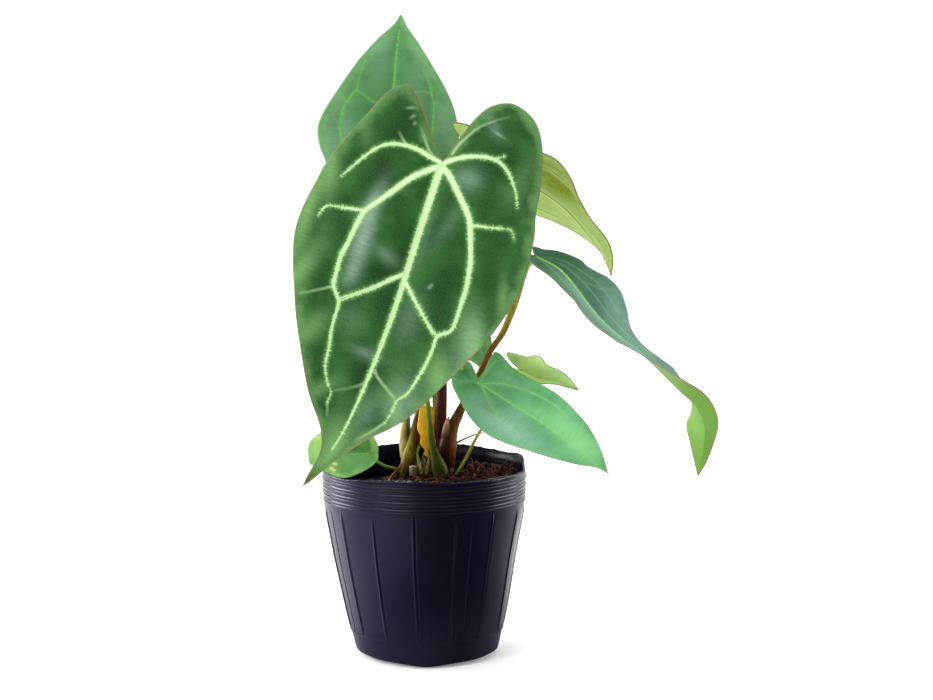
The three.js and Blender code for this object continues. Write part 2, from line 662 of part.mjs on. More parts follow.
for (const [name, crown] of Object.entries(CROWNS)) {
  fat[name] = bar(crown.route, crown.radii, CROWN_SIDES, GAP, CROWN_STEPS);
}

// Each stalk is cut clear of the stalks before it and of its leaf.
const stalkNames = Object.keys(STALKS);
const crownNames = Object.keys(CROWNS);
const bitNames = Object.keys(BITS);
stalkNames.forEach((name, order) => {
  const stalk = STALKS[name];
  const body = cutClear(bar(stalk.route, stalk.radii), [...stalkNames.slice(0, order), stalk.leaf]);
  fat[name] = bar(stalk.route, stalk.radii, STALK_SIDES, GAP);
  place(name, largest(body), stalk.finish);
});

for (const name of crownNames) {
  const { route, radii, finish } = CROWNS[name];
  const body = bar(route, radii, CROWN_SIDES, 0, CROWN_STEPS);
  place(name, largest(cutClear(body, stalkNames)), finish);
}

for (const name of bitNames) {
  const { route, radii, finish } = BITS[name];
  const body = bar(route, radii, BIT_SIDES, 0, BIT_STEPS);
  place(name, largest(cutClear(body, [...stalkNames, ...crownNames])), finish);
  fat[name] = bar(route, radii, BIT_SIDES, GAP, BIT_STEPS);
}

const standing = [...stalkNames, ...crownNames, ...bitNames];
for (const [name, leaf] of Object.entries(LEAVES)) {
  const body = leafBodies[name];
  place(name, name === "sheath_papery" ? largest(cutClear(body, standing)) : body, leaf.finish);
}

place("soil", largest(cutClear(soilBody(), [...standing, "leaf_g"])), "soil");
place("pot", potBody(), "pot");

export default plant;
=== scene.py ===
import math

import bmesh
import bpy
import numpy as np
from mathutils import Matrix, Vector, noise


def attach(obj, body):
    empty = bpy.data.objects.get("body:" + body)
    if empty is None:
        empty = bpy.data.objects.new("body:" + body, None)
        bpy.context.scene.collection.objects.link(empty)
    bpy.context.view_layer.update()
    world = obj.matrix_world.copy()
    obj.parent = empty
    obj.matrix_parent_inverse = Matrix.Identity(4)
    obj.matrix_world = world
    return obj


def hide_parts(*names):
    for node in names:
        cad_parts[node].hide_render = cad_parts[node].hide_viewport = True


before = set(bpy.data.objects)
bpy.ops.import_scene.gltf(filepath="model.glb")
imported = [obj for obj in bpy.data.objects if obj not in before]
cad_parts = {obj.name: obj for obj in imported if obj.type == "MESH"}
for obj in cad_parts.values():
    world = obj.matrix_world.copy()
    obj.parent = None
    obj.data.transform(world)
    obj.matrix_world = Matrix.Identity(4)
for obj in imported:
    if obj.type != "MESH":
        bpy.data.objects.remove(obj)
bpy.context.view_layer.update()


# The camera stands 1.3 m in front of the plant, a little above its middle, and looks slightly down
# through a long lens. Colours are shown as they are, with no film look.
def put(name, data):
    """A new object in the scene that holds the data."""
    made = bpy.data.objects.new(name, data)
    bpy.context.scene.collection.objects.link(made)
    return made


camera_data = bpy.data.cameras.new("camera")
camera_data.lens = 85
camera_data.sensor_width = 36
camera = put("camera", camera_data)
camera.location = (0.025, -1.2924, 0.3218)
camera.rotation_euler = (math.radians(83.8), 0, 0)
bpy.context.scene.camera = camera
bpy.context.scene.view_settings.view_transform = "Standard"


# The stage is a flat table of matt white board that the pot stands on. It is in a white tent, which
# is brighter behind the plant than in front of it, and large soft boxes light it.
MM = 0.001
TABLE_REACH = 6000
TENT_FRONT = 0.26
TENT_BACK = 0.75
AIM = (0.02, 0, 0.2)


def rgb(code):
    """A screen colour such as 1f5a28 as linear red, green, blue and alpha."""
    parts = [int(code[i:i + 2], 16) / 255 for i in (0, 2, 4)]
    return [c / 12.92 if c <= 0.04045 else ((c + 0.055) / 1.055) ** 2.4 for c in parts] + [1]


def node(tree, kind, inputs=None, **settings):
    made = tree.nodes.new("ShaderNode" + kind)
    for name, value in settings.items():
        setattr(made, name, value)
    for key, value in (inputs or {}).items():
        if isinstance(value, bpy.types.NodeSocket):
            tree.links.new(value, made.inputs[key])
        else:
            made.inputs[key].default_value = value
    return made


def maths(tree, operation, first, second=0.0):
    return node(tree, "Math", {0: first, 1: second}, operation=operation).outputs[0]


def times(tree, first, second):
    return maths(tree, "MULTIPLY", first, second)


def mix(tree, share, first, second, blend="MIX"):
    made = node(tree, "Mix", {0: share, 6: first, 7: second}, data_type="RGBA", blend_type=blend)
    return made.outputs[2]


def ease(tree, value, start, end, low=0.0, high=1.0):
    """A soft step of value from low at start to high at end."""
    inputs = {"Value": value, "From Min": start, "From Max": end, "To Min": low, "To Max": high}
    return node(tree, "MapRange", inputs, interpolation_type="SMOOTHSTEP").outputs[0]


def on_piece(tree):
    """The place on the piece, in metres."""
    return node(tree, "TexCoord").outputs["Object"]


def stretched(tree, vector, scale, place=(0, 0, 0)):
    return node(tree, "Mapping", {"Vector": vector, "Scale": scale, "Location": place}).outputs[0]


def cloud(tree, vector, scale, detail=2.0, rough=0.5):
    inputs = {"Vector": vector, "Scale": scale, "Detail": detail, "Roughness": rough}
    return node(tree, "TexNoise", inputs).outputs["Fac"]


def finish(name, paint, roughness, gloss=0.5, sheen=0.0, sheen_tint=None, bump=0.2, grain=0.1):
    """A material whose colour and height paint gives, a function of its node tree. bump is the
    height's strength, and grain is the height in millimetres."""
    made = bpy.data.materials.new(name)
    made.use_nodes = True
    tree = made.node_tree
    shader = tree.nodes["Principled BSDF"]
    colour, height = paint(tree)
    if isinstance(colour, bpy.types.NodeSocket):
        tree.links.new(colour, shader.inputs["Base Color"])
    else:
        shader.inputs["Base Color"].default_value = colour
    shader.inputs["Roughness"].default_value = roughness
    shader.inputs["Specular IOR Level"].default_value = gloss
    shader.inputs["Sheen Weight"].default_value = sheen
    if sheen_tint:
        shader.inputs["Sheen Tint"].default_value = sheen_tint
    if height is not None:
        relief = node(tree, "Bump", {"Height": height, "Strength": bump, "Distance": grain * MM})
        tree.links.new(relief.outputs[0], shader.inputs["Normal"])
    return made


def mesh_of(name, shape):
    """A mesh of a shape whose sizes are in millimetres."""
    bmesh.ops.scale(shape, vec=(MM, MM, MM), verts=shape.verts)
    mesh = bpy.data.meshes.new(name)
    shape.to_mesh(mesh)
    shape.free()
    return mesh


def table_paint(tree):
    """White, but dim to reflections in front of the pot and well away from it, as if dark cards
    lay there."""
    place = on_piece(tree)
    parts = node(tree, "SeparateXYZ", {0: place}).outputs
    away = node(tree, "VectorMath", {0: place}, operation="LENGTH").outputs["Value"]
    far = times(tree, ease(tree, away, 0.4, 0.7), ease(tree, parts["Y"], 0.6, 0.2))
    card = maths(tree, "MAXIMUM", ease(tree, parts["Y"], 0.3, -0.1), far)
    card = times(tree, card, node(tree, "LightPath").outputs["Is Glossy Ray"])
    dim = mix(tree, ease(tree, parts["X"], 0.03, -0.16), rgb("3c3c56"), rgb("d0d0e8"))
    dim = mix(tree, ease(tree, away, 0.35, 0.6), dim, rgb("1e1e30"))
    return mix(tree, card, rgb("f7f7f8"), dim), None


white = finish("white_table", table_paint, 0.8, 0.1)
paper = white.node_tree
board = paper.nodes["Principled BSDF"]
# The board also glows to the camera, faintly near the pot and more away from it: painted light that keeps
# it white and pales the pot's shadow on it.
from_pot = node(paper, "VectorMath", {0: on_piece(paper)}, operation="LENGTH")
lit = ease(paper, from_pot.outputs["Value"], 0.03, 0.6, 0.2, 0.75)
lit = times(paper, lit, node(paper, "LightPath").outputs["Is Camera Ray"])
paper.links.new(lit, board.inputs["Emission Strength"])
board.inputs["Emission Color"].default_value = (1, 1, 1, 1)
table_shape = bmesh.new()
bmesh.ops.create_grid(table_shape, x_segments=1, y_segments=1, size=TABLE_REACH)
table = put("table", mesh_of("table", table_shape))
table.data.materials.append(white)

world = bpy.data.worlds.new("tent")
world.use_nodes = True
tent = world.node_tree
way = node(tent, "SeparateXYZ", {0: node(tent, "TexCoord").outputs["Generated"]}).outputs["Y"]
glow = ease(tent, way, -0.7, 0.5, TENT_FRONT, TENT_BACK)
seen = node(tent, "LightPath").outputs["Is Camera Ray"]
tent.links.new(maths(tent, "MAXIMUM", glow, seen), tent.nodes["Background"].inputs["Strength"])
tent.nodes["Background"].inputs["Color"].default_value = (1, 1, 1, 1)
bpy.context.scene.world = world


def soft_box(name, place, power, size):
    lamp = bpy.data.lights.new(name, "AREA")
    lamp.energy = power
    lamp.size = size
    made = put(name, lamp)
    made.location = place
    made.rotation_euler = (Vector(AIM) - Vector(place)).to_track_quat("-Z", "Y").to_euler()


soft_box("box_front", (-0.9, -1.2, 1.2), 19, 1.1)
soft_box("box_low", (-1.2, -0.9, 0.25), 2.5, 0.7)
soft_box("box_left", (-1.2, 0.35, 0.4), 20, 0.8)
soft_box("box_right", (1.2, 0.35, 0.4), 10, 0.8)
soft_box("box_top", (0.15, 0.25, 1.7), 15, 1.3)


# The pot is a thin, flexible black nursery pot, moulded in one piece, with four hoops under its rim,
# fine upright ribs down its wall and a torn, ragged edge. It stands on three low places of its foot.
# All sizes from here on are in millimetres, and all turns round the pot in degrees from its front.
TURN = 2 * math.pi
POT_HEIGHT = 113.6
RIM_RADIUS = 60.5
WALL = 0.9
FLOOR = 1.4
BASE_RADIUS = 38.5
FOOT_RADIUS = 42.6
FOOT_TOP = 15.6
FOOT_TOP_RADIUS = 45.3
SHOULDER = 91
SHOULDER_RADIUS = 59.6
WALL_STEPS = 16
WALL_BOW = 0.7
LIP = 109
LIP_TOP = POT_HEIGHT - 0.2
LIP_LEAN = 0.8
DENT = 0.5
HOOPS = 4
HOOP_LOWEST = 93.9
HOOP_SPACING = 4.25
HOOP_HEIGHT = 0.42
RIBS = 15
RIB_TURN = -5.2
RIB_HALF_WIDTH = 0.5
RIB_HEIGHT = 0.5
RIB_GROOVE = 0.7
GROOVE_AT = 2.2
HOLLOW = 0.5
SEAMS = (-65.7, 29.7)
SEAM_DEPTH = 0.45
SEAM_HALF_WIDTH = 0.5
TEARS = ((91, 5, 5.5), (99, 1.6, 2.5))
CORNER_TURN = 106
POT_FACETS = 820
FEET = (0, 120, 240)
FOOT_SPREAD = 17
FOOT_LIFT = 2.2
FOOT_SHIFT = 1.6
DRAINS = 8
DRAIN_RADIUS = 3.5
DRAIN_CIRCLE = 27


def unit(vectors):
    return vectors / np.maximum(np.linalg.norm(vectors, axis=-1, keepdims=True), 1e-12)


def bell(far):
    return np.exp(-(far**2))


def off_by(angle, turn):
    """Degrees from a turn to an angle, from -180 to 180."""
    return (np.degrees(angle) - turn + 180) % 360 - 180


def move_to(verts, places):
    for vert, place in zip(verts, places):
        vert.co = place


def wobble(places, scale, seed=0.0):
    """Smooth noise from -1 to 1 at each place."""
    return np.array([noise.noise(Vector(p) * scale + Vector((seed, 7 * seed, 0))) for p in places])


def wrapped(shape, rows, columns, place):
    """Adds a grid of faces, each corner moved to the place that place gives for its shares."""
    made = bmesh.ops.create_grid(shape, x_segments=rows, y_segments=columns, size=0.5)["verts"]
    shares = np.array([v.co[:2] for v in made]) + 0.5
    move_to(made, place(shares[:, 0], shares[:, 1]))
    return made, shares


def piece(name, shape, materials, slot, *stands_for):
    """Makes a shape, whose sizes are in millimetres, a finished piece of the plant."""
    made = put(name, mesh_of(name, shape))
    for material in materials:
        made.data.materials.append(material)
    made.data.shade_smooth()
    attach(made, "root")
    if stands_for:
        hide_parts(*stands_for)
    return made


def bead(middle, radius):
    """A hoop's outline: a sharp ridge with a lower one above it."""
    swell = [(-1.1, 0), (-0.6, 0.35), (-0.2, 0.85), (0, 1), (0.12, 0.9), (0.3, 0.1), (0.5, 0), (1.3, 0),
             (1.6, 0.3), (1.82, 0.5), (1.92, 0.42), (2.1, 0)]
    return [(radius + HOOP_HEIGHT * out, middle + up) for up, out in swell]


def pot_outline():
    """The pot cut through, as radius and height: out and up the outside, then in and down."""
    outside = [(0, 0), (12, 0), (24, 0), (BASE_RADIUS, 0), (FOOT_RADIUS - 1.6, 0.7),
               (FOOT_RADIUS - 0.4, 1.6), (FOOT_RADIUS, 2.6), (43.5, 7),
               (FOOT_TOP_RADIUS - 0.3, FOOT_TOP - 1), (FOOT_TOP_RADIUS - 0.1, FOOT_TOP - 0.25),
               (FOOT_TOP_RADIUS + 0.55, FOOT_TOP + 0.15)]
    for share in [k / WALL_STEPS for k in range(1, WALL_STEPS + 1)]:
        radius = FOOT_TOP_RADIUS + (SHOULDER_RADIUS - FOOT_TOP_RADIUS) * share
        bow = WALL_BOW * math.sin(math.pi * share) ** 0.3
        outside.append((radius + bow, FOOT_TOP + (SHOULDER - FOOT_TOP) * share))
    for hoop in range(HOOPS):
        radius = SHOULDER_RADIUS + 0.1 + hoop * 0.15
        outside += bead(HOOP_LOWEST + hoop * HOOP_SPACING, radius)
    outside += [(RIM_RADIUS - 0.1, 109.6), (RIM_RADIUS, 111.8), (RIM_RADIUS, LIP_TOP)]
    inside = [(r - WALL, z) for r, z in outside[::-2] if z > 2]
    return outside + inside + [(FOOT_RADIUS - 2.6, FLOOR + 0.6), (BASE_RADIUS - 2, FLOOR), (0, FLOOR)]


def rim_height(angle):
    """The rim stands higher at the back, dips at its tear and is cut raggedly."""
    turn = np.degrees(angle) % 360
    tear = sum(depth * bell((turn - middle) / width) for middle, width, depth in TEARS)
    corner = 3.6 * bell((turn - CORNER_TURN) / 16) * np.clip((turn - 96.5) / 2.5, 0, 1)
    wave = 0.8 * np.cos(5 * angle + 1.2) * np.cos(angle / 2) ** 2
    smooth = POT_HEIGHT - 2.4 * np.cos(angle) + 1.6 * np.cos(2 * angle) - tear + corner + wave
    nicks, fine = [
        np.array([noise.noise(Vector((math.cos(t) * scale, math.sin(t) * scale, seed))) for t in angle])
        for scale, seed in ((21, 3), (70, 9))]
    return smooth + 0.45 * nicks + 0.3 * fine


def rib_profile(angle, radius):
    """How far the ribs, the grooves beside them and the two seams stand out."""
    out = np.zeros_like(angle)
    for turn in [RIB_TURN + 360 * k / RIBS for k in range(RIBS)]:
        far = np.radians(off_by(angle, turn)) * radius / RIB_HALF_WIDTH
        out += RIB_HEIGHT * (bell(far) - RIB_GROOVE * bell(far - GROOVE_AT))
    for turn in SEAMS:
        out -= SEAM_DEPTH * bell(np.radians(off_by(angle, turn)) * radius / SEAM_HALF_WIDTH)
    return out


def pot_place(u, v):
    """The outline turned round the pot's axis, with all that makes its wall uneven."""
    outline = np.array(pot_outline())
    row = np.rint(u * (len(outline) - 1)).astype(int)
    radius, height = outline[row].T
    angle = TURN * (v % 1)
    in_wall = np.clip((height - FOOT_TOP - 0.5) / 3, 0, 1) * np.clip((SHOULDER - height) / 3, 0, 1)
    places = np.stack([radius * np.sin(angle), -radius * np.cos(angle), height], -1)
    dents = wobble(places * [1, 1, 0.6], 0.035, 3) * np.clip(height / 30, 0, 1) * DENT
    between_ribs = ((np.degrees(angle) - RIB_TURN) / (360 / RIBS)) % 1
    hollow = -HOLLOW * np.sin(np.pi * between_ribs) ** 0.5
    out = (rib_profile(angle, radius) + hollow) * in_wall + dents * (radius > 30)
    near_rim = np.clip((height - LIP) / (LIP_TOP - LIP), 0, 1)
    radius = radius + out + wobble(places, 0.06, 11) * near_rim * LIP_LEAN
    feet = sum(bell(off_by(angle, foot) / FOOT_SPREAD) for foot in FEET)
    low = np.clip((radius - 34) / 7, 0, 1) * np.clip(1 - height / 12, 0, 1)
    lifted = height + FOOT_LIFT * (1 - feet) * low + near_rim * (rim_height(angle) - POT_HEIGHT)
    aside = FOOT_SHIFT * np.clip(1 - height / 60, 0, 1)
    return np.stack([radius * np.sin(angle) + aside, -radius * np.cos(angle), lifted], -1)


def pot_shape():
    """The pot's wall. The faces inside it get the second, duller material."""
    shape = bmesh.new()
    wrapped(shape, len(pot_outline()) - 1, POT_FACETS, pot_place)
    bmesh.ops.remove_doubles(shape, verts=shape.verts, dist=1e-3)
    bmesh.ops.recalc_face_normals(shape, faces=shape.faces)
    for face in shape.faces:
        middle = face.calc_center_median()
        outwards = Vector((middle.x, middle.y, 0)).normalized()
        if middle.z > FLOOR + 1 and face.normal.dot(outwards) < -0.3:
            face.material_index = 1
    return shape


def drill_drains(made):
    """Cuts the drain holes through the pot's floor."""
    drills = bmesh.new()
    for k in range(DRAINS):
        angle = TURN * k / DRAINS
        x, y = DRAIN_CIRCLE * math.cos(angle) + FOOT_SHIFT, DRAIN_CIRCLE * math.sin(angle)
        place = Matrix.Translation((x, y, 0))
        bmesh.ops.create_cone(drills, cap_ends=True, segments=28, radius1=DRAIN_RADIUS,
                              radius2=DRAIN_RADIUS, depth=8, matrix=place)
    cutter = put("drills", mesh_of("drills", drills))
    cut = made.modifiers.new("drains", "BOOLEAN")
    cut.object = cutter
    cut.operation = "DIFFERENCE"
    cut.solver = "EXACT"
    bpy.context.view_layer.update()
    cut_pot = made.evaluated_get(bpy.context.evaluated_depsgraph_get())
    done = bpy.data.meshes.new_from_object(cut_pot)
    made.modifiers.clear()
    made.data = done
    bpy.data.objects.remove(cutter)


def pot_paint(tree):
    """Blue-black plastic, greyer towards the foot with dust and a painted reflection of the table, with
    warmer patches, a rim edge paler with scuffs and a painted highlight, and a whitened tear.
    """
    place = on_piece(tree)
    parts = node(tree, "SeparateXYZ", {0: place}).outputs
    height = parts["Z"]
    upright = cloud(tree, stretched(tree, place, (1, 1, 0.12)), 60, 3)
    patches = cloud(tree, place, 28, 3)
    colour = mix(tree, ease(tree, patches, 0.35, 0.7), rgb("030214"), rgb("07061a"))
    streaks = times(tree, ease(tree, upright, 0.55, 0.85), 0.3)
    colour = mix(tree, streaks, colour, rgb("121126"))
    # greyer towards the foot: a painted reflection of the white table, with some dust
    colour = mix(tree, ease(tree, height, 0.045, 0.004, 0, 0.8), colour, rgb("1c1b2c"))
    dust = ease(tree, cloud(tree, place, 900, 2), 0.74, 0.82, 0, 0.5)
    colour = mix(tree, dust, colour, rgb("4a4955"))
    warm = cloud(tree, stretched(tree, place, (1, 1, 0.3), (0, 0, 5)), 22, 1)
    colour = mix(tree, ease(tree, warm, 0.52, 0.7, 0, 0.6), colour, rgb("120406"))
    # the top edge of the rim is paler: scuffs, and a painted highlight along the edge
    rim = maths(tree, "ADD", height, times(tree, parts["Y"], -0.04))
    high = ease(tree, rim, 0.1142, 0.1156)
    rim_scuffs_and_highlight = times(tree, high, ease(tree, cloud(tree, place, 420, 3), 0.5, 0.64))
    from_tear = node(tree, "VectorMath", {0: place, 1: (0.0605, 0.001, 0.111)}, operation="DISTANCE")
    torn = ease(tree, from_tear.outputs["Value"], 0.011, 0.004)
    torn = times(tree, torn, ease(tree, cloud(tree, place, 300, 3, 0.7), 0.48, 0.56))
    pale = maths(tree, "MAXIMUM", torn, times(tree, rim_scuffs_and_highlight, 0.55))
    colour = mix(tree, pale, colour, rgb("b4b2ba"))
    grain = maths(tree, "ADD", cloud(tree, place, 700, 3), times(tree, upright, 1.5))
    return colour, grain


plastic = finish("black_plastic", pot_paint, 0.26, 0.42, bump=0.2, grain=0.08)
moulded = plastic.node_tree.nodes["Principled BSDF"]
moulded.inputs["Specular Tint"].default_value = (0.75, 0.74, 1, 1)
dull = finish("black_plastic_inside", pot_paint, 0.3, 0.09, bump=0.2, grain=0.08)
pot = piece("nursery_pot", pot_shape(), [plastic, dull], "pot", "pot")
drill_drains(pot)


# The soil is a loose mix of coir, bark chips and a little perlite that fills the pot and stands in a
# low mound. It is lower on the left, where the pot's wall shows black inside.
SOIL_TOP = 106.4
SOIL_TILT = 0.06
SOIL_DOME = 0.0012
LEFT_DIP = 9
BACK_DIP = 6.5
SOIL_RADIUS = 57.4
BARK_CHIPS = 1500
COIR_FIBRES = 420
TALL_FIBRES = 60
PERLITE_BITS = 14
draw = np.random.default_rng(11)


def soil_height(x, y):
    bumps = 0.9 * np.sin(x * 0.31 + 1) * np.cos(y * 0.27) + 0.5 * np.sin(x * 0.7 + y * 0.6)
    dip = LEFT_DIP * np.clip((-x - 12) / 26, 0, 1) ** 1.3
    dip = dip + BACK_DIP * np.clip((y + 2) / 42, 0, 1) ** 1.2
    return SOIL_TOP + SOIL_TILT * x - SOIL_DOME * (x * x + y * y) + bumps - dip


def mound_place(u, v):
    """From the middle of the floor out, up the wall and in over the top."""
    stops = [0, 0.04, 0.12, 0.3, 0.34, 1]
    radius = np.interp(u, stops, [0, 37, 44, SOIL_RADIUS - 2, SOIL_RADIUS, 0])
    height = np.interp(u, stops, [FLOOR + 0.3, FLOOR + 0.3, FOOT_TOP, SHOULDER, 98, 98])
    x, y = radius * np.cos(TURN * v), radius * np.sin(TURN * v)
    top = soil_height(x, y) + 0.7 * wobble(np.stack([x, y, 0 * x], -1), 0.45)
    share = np.clip((u - 0.34) / 0.05, 0, 1)
    return np.stack([x, y, height + (top - height) * share], -1)


def soil_paint(tree):
    place = on_piece(tree)
    patches = cloud(tree, place, 160, 4, 0.7)
    colour = mix(tree, ease(tree, patches, 0.3, 0.7), rgb("0c0605"), rgb("2c150e"))
    colour = mix(tree, ease(tree, cloud(tree, place, 620, 3), 0.64, 0.74, 0, 0.5), colour, rgb("6a4028"))
    return colour, cloud(tree, place, 500, 5, 0.7)


def in_pot(count, reach=55.5):
    """Random places on the mound, as x, y and height."""
    angle = draw.uniform(0, TURN, count)
    radius = reach * np.sqrt(draw.random(count))
    x, y = radius * np.cos(angle), radius * np.sin(angle)
    return np.stack([x, y, soil_height(x, y)], -1)


def chip_shape(count, low, high):
    """Flat, uneven splinters that lie every way on the mound."""
    shape = bmesh.new()
    for place in in_pot(count):
        size = draw.uniform(low, high)
        turn = Matrix.Rotation(draw.uniform(0, TURN), 4, "Z")
        turn = turn @ Matrix.Rotation(draw.normal(0, 0.5), 4, "X")
        turn = turn @ Matrix.Rotation(draw.normal(0, 0.5), 4, "Y")
        measure = Matrix.Diagonal((size * draw.uniform(0.8, 1.8), size * draw.uniform(0.3, 0.8),
                                   size * draw.uniform(0.15, 0.4), 1))
        lift = Vector(place) + Vector((0, 0, draw.uniform(-0.3, 0.9)))
        made = bmesh.ops.create_cube(shape, size=1, matrix=Matrix.Translation(lift) @ turn @ measure)
        jitter = draw.normal(0, 0.13 * size, (len(made["verts"]), 3))
        for vert, off in zip(made["verts"], jitter):
            vert.co += Vector(off)
    return shape


def bark_paint(tree):
    place = on_piece(tree)
    patches = cloud(tree, place, 95, 2, 0.6)
    colour = mix(tree, ease(tree, patches, 0.35, 0.65), rgb("180a07"), rgb("48211a"))
    colour = mix(tree, ease(tree, cloud(tree, place, 210, 2), 0.62, 0.7, 0, 0.7), colour, rgb("99684a"))
    return colour, cloud(tree, place, 900, 4)


class Route:
    """A smooth curve through given points, read at shares of its length."""

    def __init__(self, points):
        p = np.array(points, float)
        p = np.vstack([2 * p[0] - p[1], p, 2 * p[-1] - p[-2]])
        t = np.linspace(0, 1, 40, endpoint=False)[:, None]
        runs = [b + t / 2 * (c - a + t * (2 * a - 5 * b + 4 * c - d + t * (3 * (b - c) + d - a)))
                for a, b, c, d in zip(p, p[1:], p[2:], p[3:])]
        self.line = np.vstack([*runs, p[-2:-1]])
        steps = np.linalg.norm(np.diff(self.line, axis=0), axis=1)
        self.far = np.concatenate([[0], np.cumsum(steps)])
        self.length = self.far[-1]

    def at(self, share):
        return np.stack([np.interp(share * self.length, self.far, k) for k in self.line.T], -1)

    def along(self, share):
        near, ahead = np.clip(share - 0.004, 0, 1), np.clip(share + 0.004, 0, 1)
        return unit(self.at(ahead) - self.at(near))

    def by_point(self, share):
        """Read at shares of the count of points, whatever lies between them."""
        places = np.linspace(0, 1, len(self.line))
        return np.stack([np.interp(share, places, k) for k in self.line.T], -1)


def frames_along(route, rings):
    """Centres along a route, and two directions across it that don't twist."""
    shares = np.linspace(0, 1, rings + 1)
    centres, ahead = route.at(shares), route.along(shares)
    across = np.empty_like(ahead)
    last = np.cross(ahead[0], (0.35, 0.9, 0.2))
    for k, way in enumerate(ahead):
        last = unit(last - way * (last @ way))
        across[k] = last
    return centres, across, np.cross(ahead, across)


def bar(shape, points, radii, rings=40, sides=14, lumps=0.03):
    """A closed round bar along a route, its radius given at even steps."""
    centres, across, other = frames_along(Route(points), rings)
    girth = np.interp(np.linspace(0, 1, rings + 1), np.linspace(0, 1, len(radii)), radii)
    girth = girth * (1 + lumps * wobble(centres, 0.12, 5))
    girth[0] = girth[-1] = 0

    def place(u, v):
        k = np.rint(u * rings).astype(int)
        ring = np.cos(TURN * v)[:, None] * across[k] + np.sin(TURN * v)[:, None] * other[k]
        return centres[k] + girth[k][:, None] * ring

    made, shares = wrapped(shape, rings, sides, place)
    along, right = [shape.verts.layers.float.get(name) for name in ("along", "right")]
    if along:
        k = np.rint(shares[:, 0] * rings).astype(int)
        turns = TURN * shares[:, 1]
        to_right = np.cos(turns) * across[k][:, 0] + np.sin(turns) * other[k][:, 0]
        for vert, share, turned in zip(made, shares[:, 0], to_right):
            vert[along] = share
            vert[right] = turned
    return made


def close_up(shape):
    """Joins the seams of wrapped grids and points their faces out."""
    bmesh.ops.remove_doubles(shape, verts=shape.verts, dist=1e-3)
    bmesh.ops.dissolve_degenerate(shape, edges=shape.edges, dist=1e-4)
    bmesh.ops.recalc_face_normals(shape, faces=shape.faces)
    return shape


def fibre_shape(places, lengths, lean, thick):
    """Thin curly fibres that start in the soil and bend over."""
    shape = bmesh.new()
    for place, length in zip(places, lengths):
        way = draw.normal(0, 1, 2)
        way = np.array([*(way / np.hypot(*way)), 0]) * length
        rise = draw.uniform(*lean) * length
        side = np.array([-way[1], way[0], 0]) * draw.uniform(-0.4, 0.4)
        root = np.array(place) - [0, 0, 1.2]
        points = [root, root + way * 0.25 + [0, 0, rise * 0.6 + 1.2] + side * 0.5,
                  root + way * 0.6 + [0, 0, rise + 1.2] + side, root + way + [0, 0, rise * 0.8 + 1]]
        bar(shape, points, [thick, thick * 0.9, thick * 0.6], rings=6, sides=4, lumps=0)
    return close_up(shape)


def coir_paint(tree):
    place = on_piece(tree)
    patches = cloud(tree, place, 70, 2)
    return mix(tree, ease(tree, patches, 0.35, 0.65), rgb("2c100a"), rgb("8a4426")), None


def bits_shape(places, low, high):
    """Rounded crumbs, each a rough ball."""
    shape = bmesh.new()
    for place in places:
        size = draw.uniform(low, high)
        lift = Matrix.Translation(Vector(place) + Vector((0, 0, 0.3 * size)))
        made = bmesh.ops.create_icosphere(shape, subdivisions=2, radius=size, matrix=lift)["verts"]
        for vert in made:
            vert.co += Vector((draw.normal(0, 0.09 * size), draw.normal(0, 0.09 * size), 0))
    return shape


mound = bmesh.new()
wrapped(mound, 90, 150, mound_place)
piece("soil_mound", close_up(mound), [finish("dark_soil", soil_paint, 0.95, 0.15, bump=0.8, grain=0.8)],
      "soil", "soil")
bark = finish("bark", bark_paint, 0.9, 0.2, bump=0.5, grain=0.3)
piece("bark_chips", chip_shape(BARK_CHIPS, 1.2, 4.2), [bark], "soil")
coir = finish("coir", coir_paint, 0.8, 0.25)
loose = fibre_shape(in_pot(COIR_FIBRES), draw.uniform(3, 9, COIR_FIBRES), (0.05, 0.35), 0.22)
piece("coir_fibres", loose, [coir], "soil")
clump = in_pot(TALL_FIBRES, 14) * [1, 1, 0] + [40, 12, 0]
clump[:, 2] = soil_height(clump[:, 0], clump[:, 1])
tall = fibre_shape(clump, draw.uniform(4, 9, TALL_FIBRES), (0.6, 1.1), 0.3)
piece("coir_tuft", tall, [coir], "soil")
perlite = finish("perlite", lambda tree: (rgb("d8d2c6"), None), 0.9, 0.2)
piece("perlite", bits_shape(in_pot(PERLITE_BITS, 50), 0.5, 1.3), [perlite], "soil")


